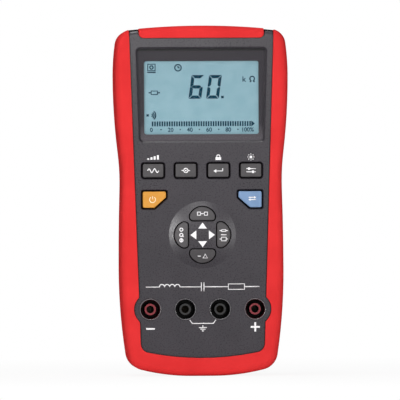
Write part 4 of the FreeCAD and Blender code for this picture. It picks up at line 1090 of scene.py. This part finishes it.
@dataclass
class Keypad(SubAssembly):
    """Keys with their signs, the round pad's arrows, and the mat and domes beneath."""

    arrow_wide_mm: float = 4.8
    # where the arrows start and end, out from the pad's middle
    arrow_reach_mm: tuple[float, float] = (3.45, 6.7)
    # ball of the round pad, and how far its keys stand proud of it
    pad_radius_mm: float = 18.3
    pad_rise_mm: float = 2.2
    lobe_proud_mm: float = 0.4
    label_rise_mm: float = 7.2
    label_scale: float = 1.1
    mode_sign_mm: Place = (1.2, 0.4)
    power_sign_mm: Place = (-1.0, 0.0)
    ink: Ink = Ink(WHITE_INK, stroke_mm=0.56, lift_mm=0.02)
    power_ink: Ink = Ink(PALE_INK, stroke_mm=0.5)
    finishes: dict[str, Finish] = field(
        default_factory=lambda: {
            **{f"key_{i}": GREY_SILICONE for i in KEYS},
            **{f"{side}_key": GREY_SILICONE for side in ("up", "right", "down", "left")},
            "power_key": ORANGE_SILICONE,
            "mode_key": BLUE_SILICONE,
            "keypad_mat": MAT_SILICONE,
            "snap_domes": SPRING_STEEL,
        }
    )

    def build(self) -> None:
        """Print the signs on the keys and round them."""
        signs = (Glyph.WAVE, Glyph.TARGET, Glyph.RETURN, Glyph.SLIDERS)
        labels = (Glyph.STEPS, None, Glyph.LOCK, Glyph.SUN)
        panel = level(PANEL_MM)
        for i, glyph, label in zip(KEYS, signs, labels):
            x, z, front = middle(f"key_{i}")
            self.print_key(f"key_{i}", glyph, x, z, level(front))
            if label is not None:
                marks = label.marks().moved(x, z + self.label_rise_mm, self.label_scale)
                self.ink.lay(f"print_{label.value}", marks, panel, CASE, "grey_abs")
        x, z, front = middle("mode_key")
        right, rise = self.mode_sign_mm
        self.print_key("mode_key", Glyph.SWAP, x + right, z + rise, level(front))
        x, z, front = middle("power_key")
        right, rise = self.power_sign_mm
        marks = Glyph.POWER.marks().moved(x + right, z + rise)
        self.power_ink.lay("print_power", marks, level(front), "power_key_body", "orange_silicone")
        self.print_pad()

    def print_key(self, key: str, glyph: Glyph, x: float, z: float, face: Depth) -> None:
        """Print one sign on a key.

        Args:
            key: name of the key's node.
            glyph: the sign.
            x: middle to the right, mm.
            z: middle upwards, mm.
            face: depth of the key's crest.
        """
        slot = "blue_silicone" if key == "mode_key" else "grey_silicone"
        self.ink.lay(f"print_{glyph.value}", glyph.marks().moved(x, z), face, f"{key}_body", slot)

    def print_pad(self) -> None:
        """Print the arrows on the round pad and the signs on its keys."""
        left, _, _ = middle("left_key")
        right, z, _ = middle("right_key")
        x = (left + right) / 2
        half, (base, apex) = self.arrow_wide_mm / 2, self.arrow_reach_mm
        ball = (self.pad_radius_mm**2 + self.pad_rise_mm**2) / (2 * self.pad_rise_mm)
        heart = PANEL_MM + self.pad_rise_mm - ball

        def dome(proud: float) -> Depth:
            """Skin of the pad's ball, let out by a margin."""
            return lambda px, pz: heart + math.sqrt((ball + proud) ** 2 - (px - x) ** 2 - (pz - z) ** 2)

        arrow = [(-half, base), (half, base), (0.0, apex), (-half, base)]
        arrows = [[(px * c + pz * s + x, pz * c - px * s + z) for px, pz in arrow] for c, s in QUARTERS]
        self.ink.lay("print_arrows", Marks([], arrows), dome(0.0), CASE, "grey_abs")
        signs = {"up": Glyph.LINK, "right": Glyph.NETWORK, "down": Glyph.DELTA, "left": Glyph.RINGS}
        for side, glyph in signs.items():
            px, pz, _ = middle(f"{side}_key")
            self.print_key(f"{side}_key", glyph, px, pz, dome(self.lobe_proud_mm))


@dataclass
class Sockets(SubAssembly):
    """Four shrouded measuring sockets and their board."""

    bead_radius_mm: float = 5.66
    bead_thick_mm: float = 0.44
    bead_sides: int = 8
    bead_steps: int = 64
    finishes: dict[str, Finish] = field(
        default_factory=lambda: {
            **{f"jack_body_{i}": RED_REFLECTION_PA if i in OUTER_JACKS else BLACK_PA for i in JACKS},
            **{f"jack_tube_{i}": RED_PA if i in OUTER_JACKS else TUBE_PA for i in JACKS},
            **{f"jack_contact_{i}": NICKEL_BRASS for i in JACKS},
            "socket_board": BOARD,
            "board_header": BLACK_ABS,
        }
    )

    def build(self) -> None:
        """Run a glossy bead, painted pale, round the rim of each socket as its highlight."""
        for i in JACKS:
            x, z, front = middle(f"jack_body_{i}")
            bm = bmesh.new()
            seat = Matrix.Translation((x + self.bead_radius_mm, -front, z))
            bmesh.ops.create_circle(bm, segments=self.bead_sides, radius=self.bead_thick_mm / 2, matrix=seat)
            bmesh.ops.spin(
                bm,
                geom=list(bm.verts) + list(bm.edges),
                cent=(x, -front, z),
                axis=(0.0, 1.0, 0.0),
                angle=math.tau,
                steps=self.bead_steps,
                use_merge=True,
            )
            bmesh.ops.recalc_face_normals(bm, faces=bm.faces)
            bmesh.ops.scale(bm, vec=(MM, MM, MM), verts=bm.verts)
            for face in bm.faces:
                face.smooth = True
            keep(bm, f"jack_bead_{i}", RIM_HIGHLIGHT_PA, CASE)


@dataclass
class Electronics(SubAssembly):
    """Main board with its parts and screws."""

    finishes: dict[str, Finish] = field(
        default_factory=lambda: {
            "main_board": BOARD,
            "board_screws": ZINC_STEEL,
            "processor_chip": CHIP_EPOXY,
            "meter_chip": CHIP_EPOXY,
            "beeper": BLACK_ABS,
        }
    )


@dataclass
class Back(SubAssembly):
    """Stand, battery door and battery."""

    finishes: dict[str, Finish] = field(
        default_factory=lambda: {
            "tilt_stand": GREY_ABS,
            "battery_door": GREY_ABS,
            "door_screw": ZINC_STEEL,
            "battery": BATTERY_CAN,
            "battery_contacts": SPRING_STEEL,
        }
    )


@dataclass(frozen=True)
class Lamp:
    """A soft rectangular light: where it hangs, the width and height of its face, and its power."""

    name: str
    place_m: tuple[float, float, float]
    face_m: tuple[float, float]
    watts: float

    def hang(self, aim: Vector) -> None:
        """Hang the light so that it points at the object.

        Args:
            aim: place that it points at, m.
        """
        data = bpy.data.lights.new(self.name, "AREA")
        data.shape = "RECTANGLE"
        data.size, data.size_y = self.face_m
        data.energy = self.watts
        lamp = bpy.data.objects.new(self.name, data)
        turn = (aim - Vector(self.place_m)).to_track_quat("-Z", "Y").to_matrix().to_4x4()
        lamp.matrix_world = Matrix.Translation(self.place_m) @ turn
        bpy.context.scene.collection.objects.link(lamp)


@dataclass
class Studio:
    """White sweep, soft lamps before, above and behind the object, and a long lens."""

    distance_m: float = 4.0
    azimuth_deg: float = -2.85
    roll_deg: float = -0.30
    # scale of the picture at the case's middle
    pixels_per_mm: float = 1.826
    image_px: int = 400
    aim_mm: tuple[float, float] = (-0.175, 95.9)
    sensor_mm: float = 36.0
    far_m: float = 50.0
    floor_m: float = 6.0
    paper: str = "#f4f4f4"
    # distances from the middle between which the shadow fades, and the share of plain white at each
    shadow_m: tuple[float, float] = (0.10, 0.45)
    whitening: tuple[float, float] = (0.9, 1.0)
    world_light: float = 0.12
    white: tuple[float, float, float, float] = (1.0, 1.0, 1.0, 1.0)
    lamps: tuple[Lamp, ...] = (
        Lamp("key_light", place_m=(-0.215, -0.52, 0.130), face_m=(0.045, 0.20), watts=1.22),
        Lamp("top_light", place_m=(0.0, -0.55, 0.48), face_m=(0.20, 0.20), watts=0.25),
        Lamp("sheen_light", place_m=(0.0, -0.52, 0.27), face_m=(0.12, 0.12), watts=0.48),
        Lamp("side_light", place_m=(0.215, -0.50, 0.09), face_m=(0.03, 0.10), watts=0.52),
        Lamp("over_light", place_m=(-0.10, -0.08, 0.80), face_m=(0.30, 0.30), watts=2.40),
        Lamp("back_light_left", place_m=(-0.35, 0.65, 0.40), face_m=(0.40, 0.40), watts=0.90),
        Lamp("back_light_right", place_m=(0.35, 0.65, 0.40), face_m=(0.40, 0.40), watts=0.90),
    )

    def build(self) -> None:
        """Set up camera, floor, world and lamps."""
        scene = bpy.context.scene
        scene.view_settings.view_transform = "Standard"
        self.camera()
        self.floor()
        self.world()
        for lamp in self.lamps:
            lamp.hang(Vector((0.0, 0.0, self.aim_mm[1] * MM)))

    def camera(self) -> None:
        """Stand the camera in front, a little to the left, level."""
        angle = math.radians(self.azimuth_deg)
        aim = Vector((self.aim_mm[0] * MM, 0.0, self.aim_mm[1] * MM))
        back = Vector((math.sin(angle), -math.cos(angle), 0.0))
        data = bpy.data.cameras.new("camera")
        data.sensor_width = self.sensor_mm
        data.lens = self.pixels_per_mm / MM * self.sensor_mm * self.distance_m / self.image_px
        data.clip_end = self.far_m
        camera = bpy.data.objects.new("camera", data)
        turn = (-back).to_track_quat("-Z", "Y").to_matrix().to_4x4()
        roll = Matrix.Rotation(math.radians(self.roll_deg), 4, "Z")
        camera.matrix_world = Matrix.Translation(aim + back * self.distance_m) @ turn @ roll
        bpy.context.scene.collection.objects.link(camera)
        bpy.context.scene.camera = camera

    def seen(self, tree: bpy.types.NodeTree) -> bpy.types.NodeSocket:
        """Tell rays that look at the backdrop from rays that gather light.

        Args:
            tree: node tree that asks.

        Returns:
            1 for camera, mirror and glass rays, else 0.
        """
        path = add(tree, "ShaderNodeLightPath")
        seen = path.outputs["Is Camera Ray"]
        for other in ("Is Glossy Ray", "Is Transmission Ray"):
            inputs = {0: seen, 1: path.outputs[other]}
            seen = add(tree, "ShaderNodeMath", inputs, operation="MAXIMUM").outputs[0]
        return seen

    def floor(self) -> None:
        """Lay a pale floor that shows white and keeps a faint shadow."""
        bm = bmesh.new()
        bmesh.ops.create_grid(bm, x_segments=2, y_segments=2, size=self.floor_m)
        mesh = bpy.data.meshes.new("floor")
        bm.to_mesh(mesh)
        bm.free()
        floor = bpy.data.objects.new("floor", mesh)
        bpy.context.scene.collection.objects.link(floor)
        made = bpy.data.materials.new("white_sweep")
        made.use_nodes = True
        tree = made.node_tree
        tree.nodes.clear()
        paper = add(tree, "ShaderNodeBsdfDiffuse", {"Color": linear(self.paper)})
        glow = add(tree, "ShaderNodeEmission", {"Color": self.white, "Strength": 1.0})
        place = add(tree, "ShaderNodeTexCoord").outputs["Object"]
        away = add(tree, "ShaderNodeVectorMath", {0: place}, operation="LENGTH")
        near, far = self.shadow_m
        least, most = self.whitening
        reach = {"Value": away.outputs["Value"], "From Min": near, "From Max": far}
        fade = add(tree, "ShaderNodeMapRange", {**reach, "To Min": least, "To Max": most})
        both = {0: self.seen(tree), 1: fade.outputs["Result"]}
        share = add(tree, "ShaderNodeMath", both, operation="MULTIPLY")
        surface = {0: share.outputs[0], 1: paper.outputs[0], 2: glow.outputs[0]}
        sweep = add(tree, "ShaderNodeMixShader", surface)
        add(tree, "ShaderNodeOutputMaterial", {"Surface": sweep.outputs[0]})
        mesh.materials.append(made)

    def world(self) -> None:
        """Give even light all round, and white where the camera looks past the object."""
        world = bpy.data.worlds.new("studio")
        bpy.context.scene.world = world
        world.use_nodes = True
        tree = world.node_tree
        tree.nodes.clear()
        lit = add(tree, "ShaderNodeBackground", {"Color": self.white, "Strength": self.world_light})
        shown = add(tree, "ShaderNodeBackground", {"Color": self.white, "Strength": 1.0})
        surface = {0: self.seen(tree), 1: lit.outputs[0], 2: shown.outputs[0]}
        both = add(tree, "ShaderNodeMixShader", surface)
        add(tree, "ShaderNodeOutputWorld", {"Surface": both.outputs[0]})


def main() -> None:
    """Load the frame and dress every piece."""
    logging.basicConfig(level=logging.INFO, format="%(name)s: %(message)s")
    for thing in list(bpy.data.objects):
        bpy.data.objects.remove(thing)
    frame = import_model()
    bpy.context.view_layer.update()
    for assembly in (Case(), Display(), Keypad(), Sockets(), Electronics(), Back()):
        assembly.dress(frame["nodes"])
        assembly.build()
    Studio().build()
    bpy.context.view_layer.update()


if __name__ == "__main__":
    main()
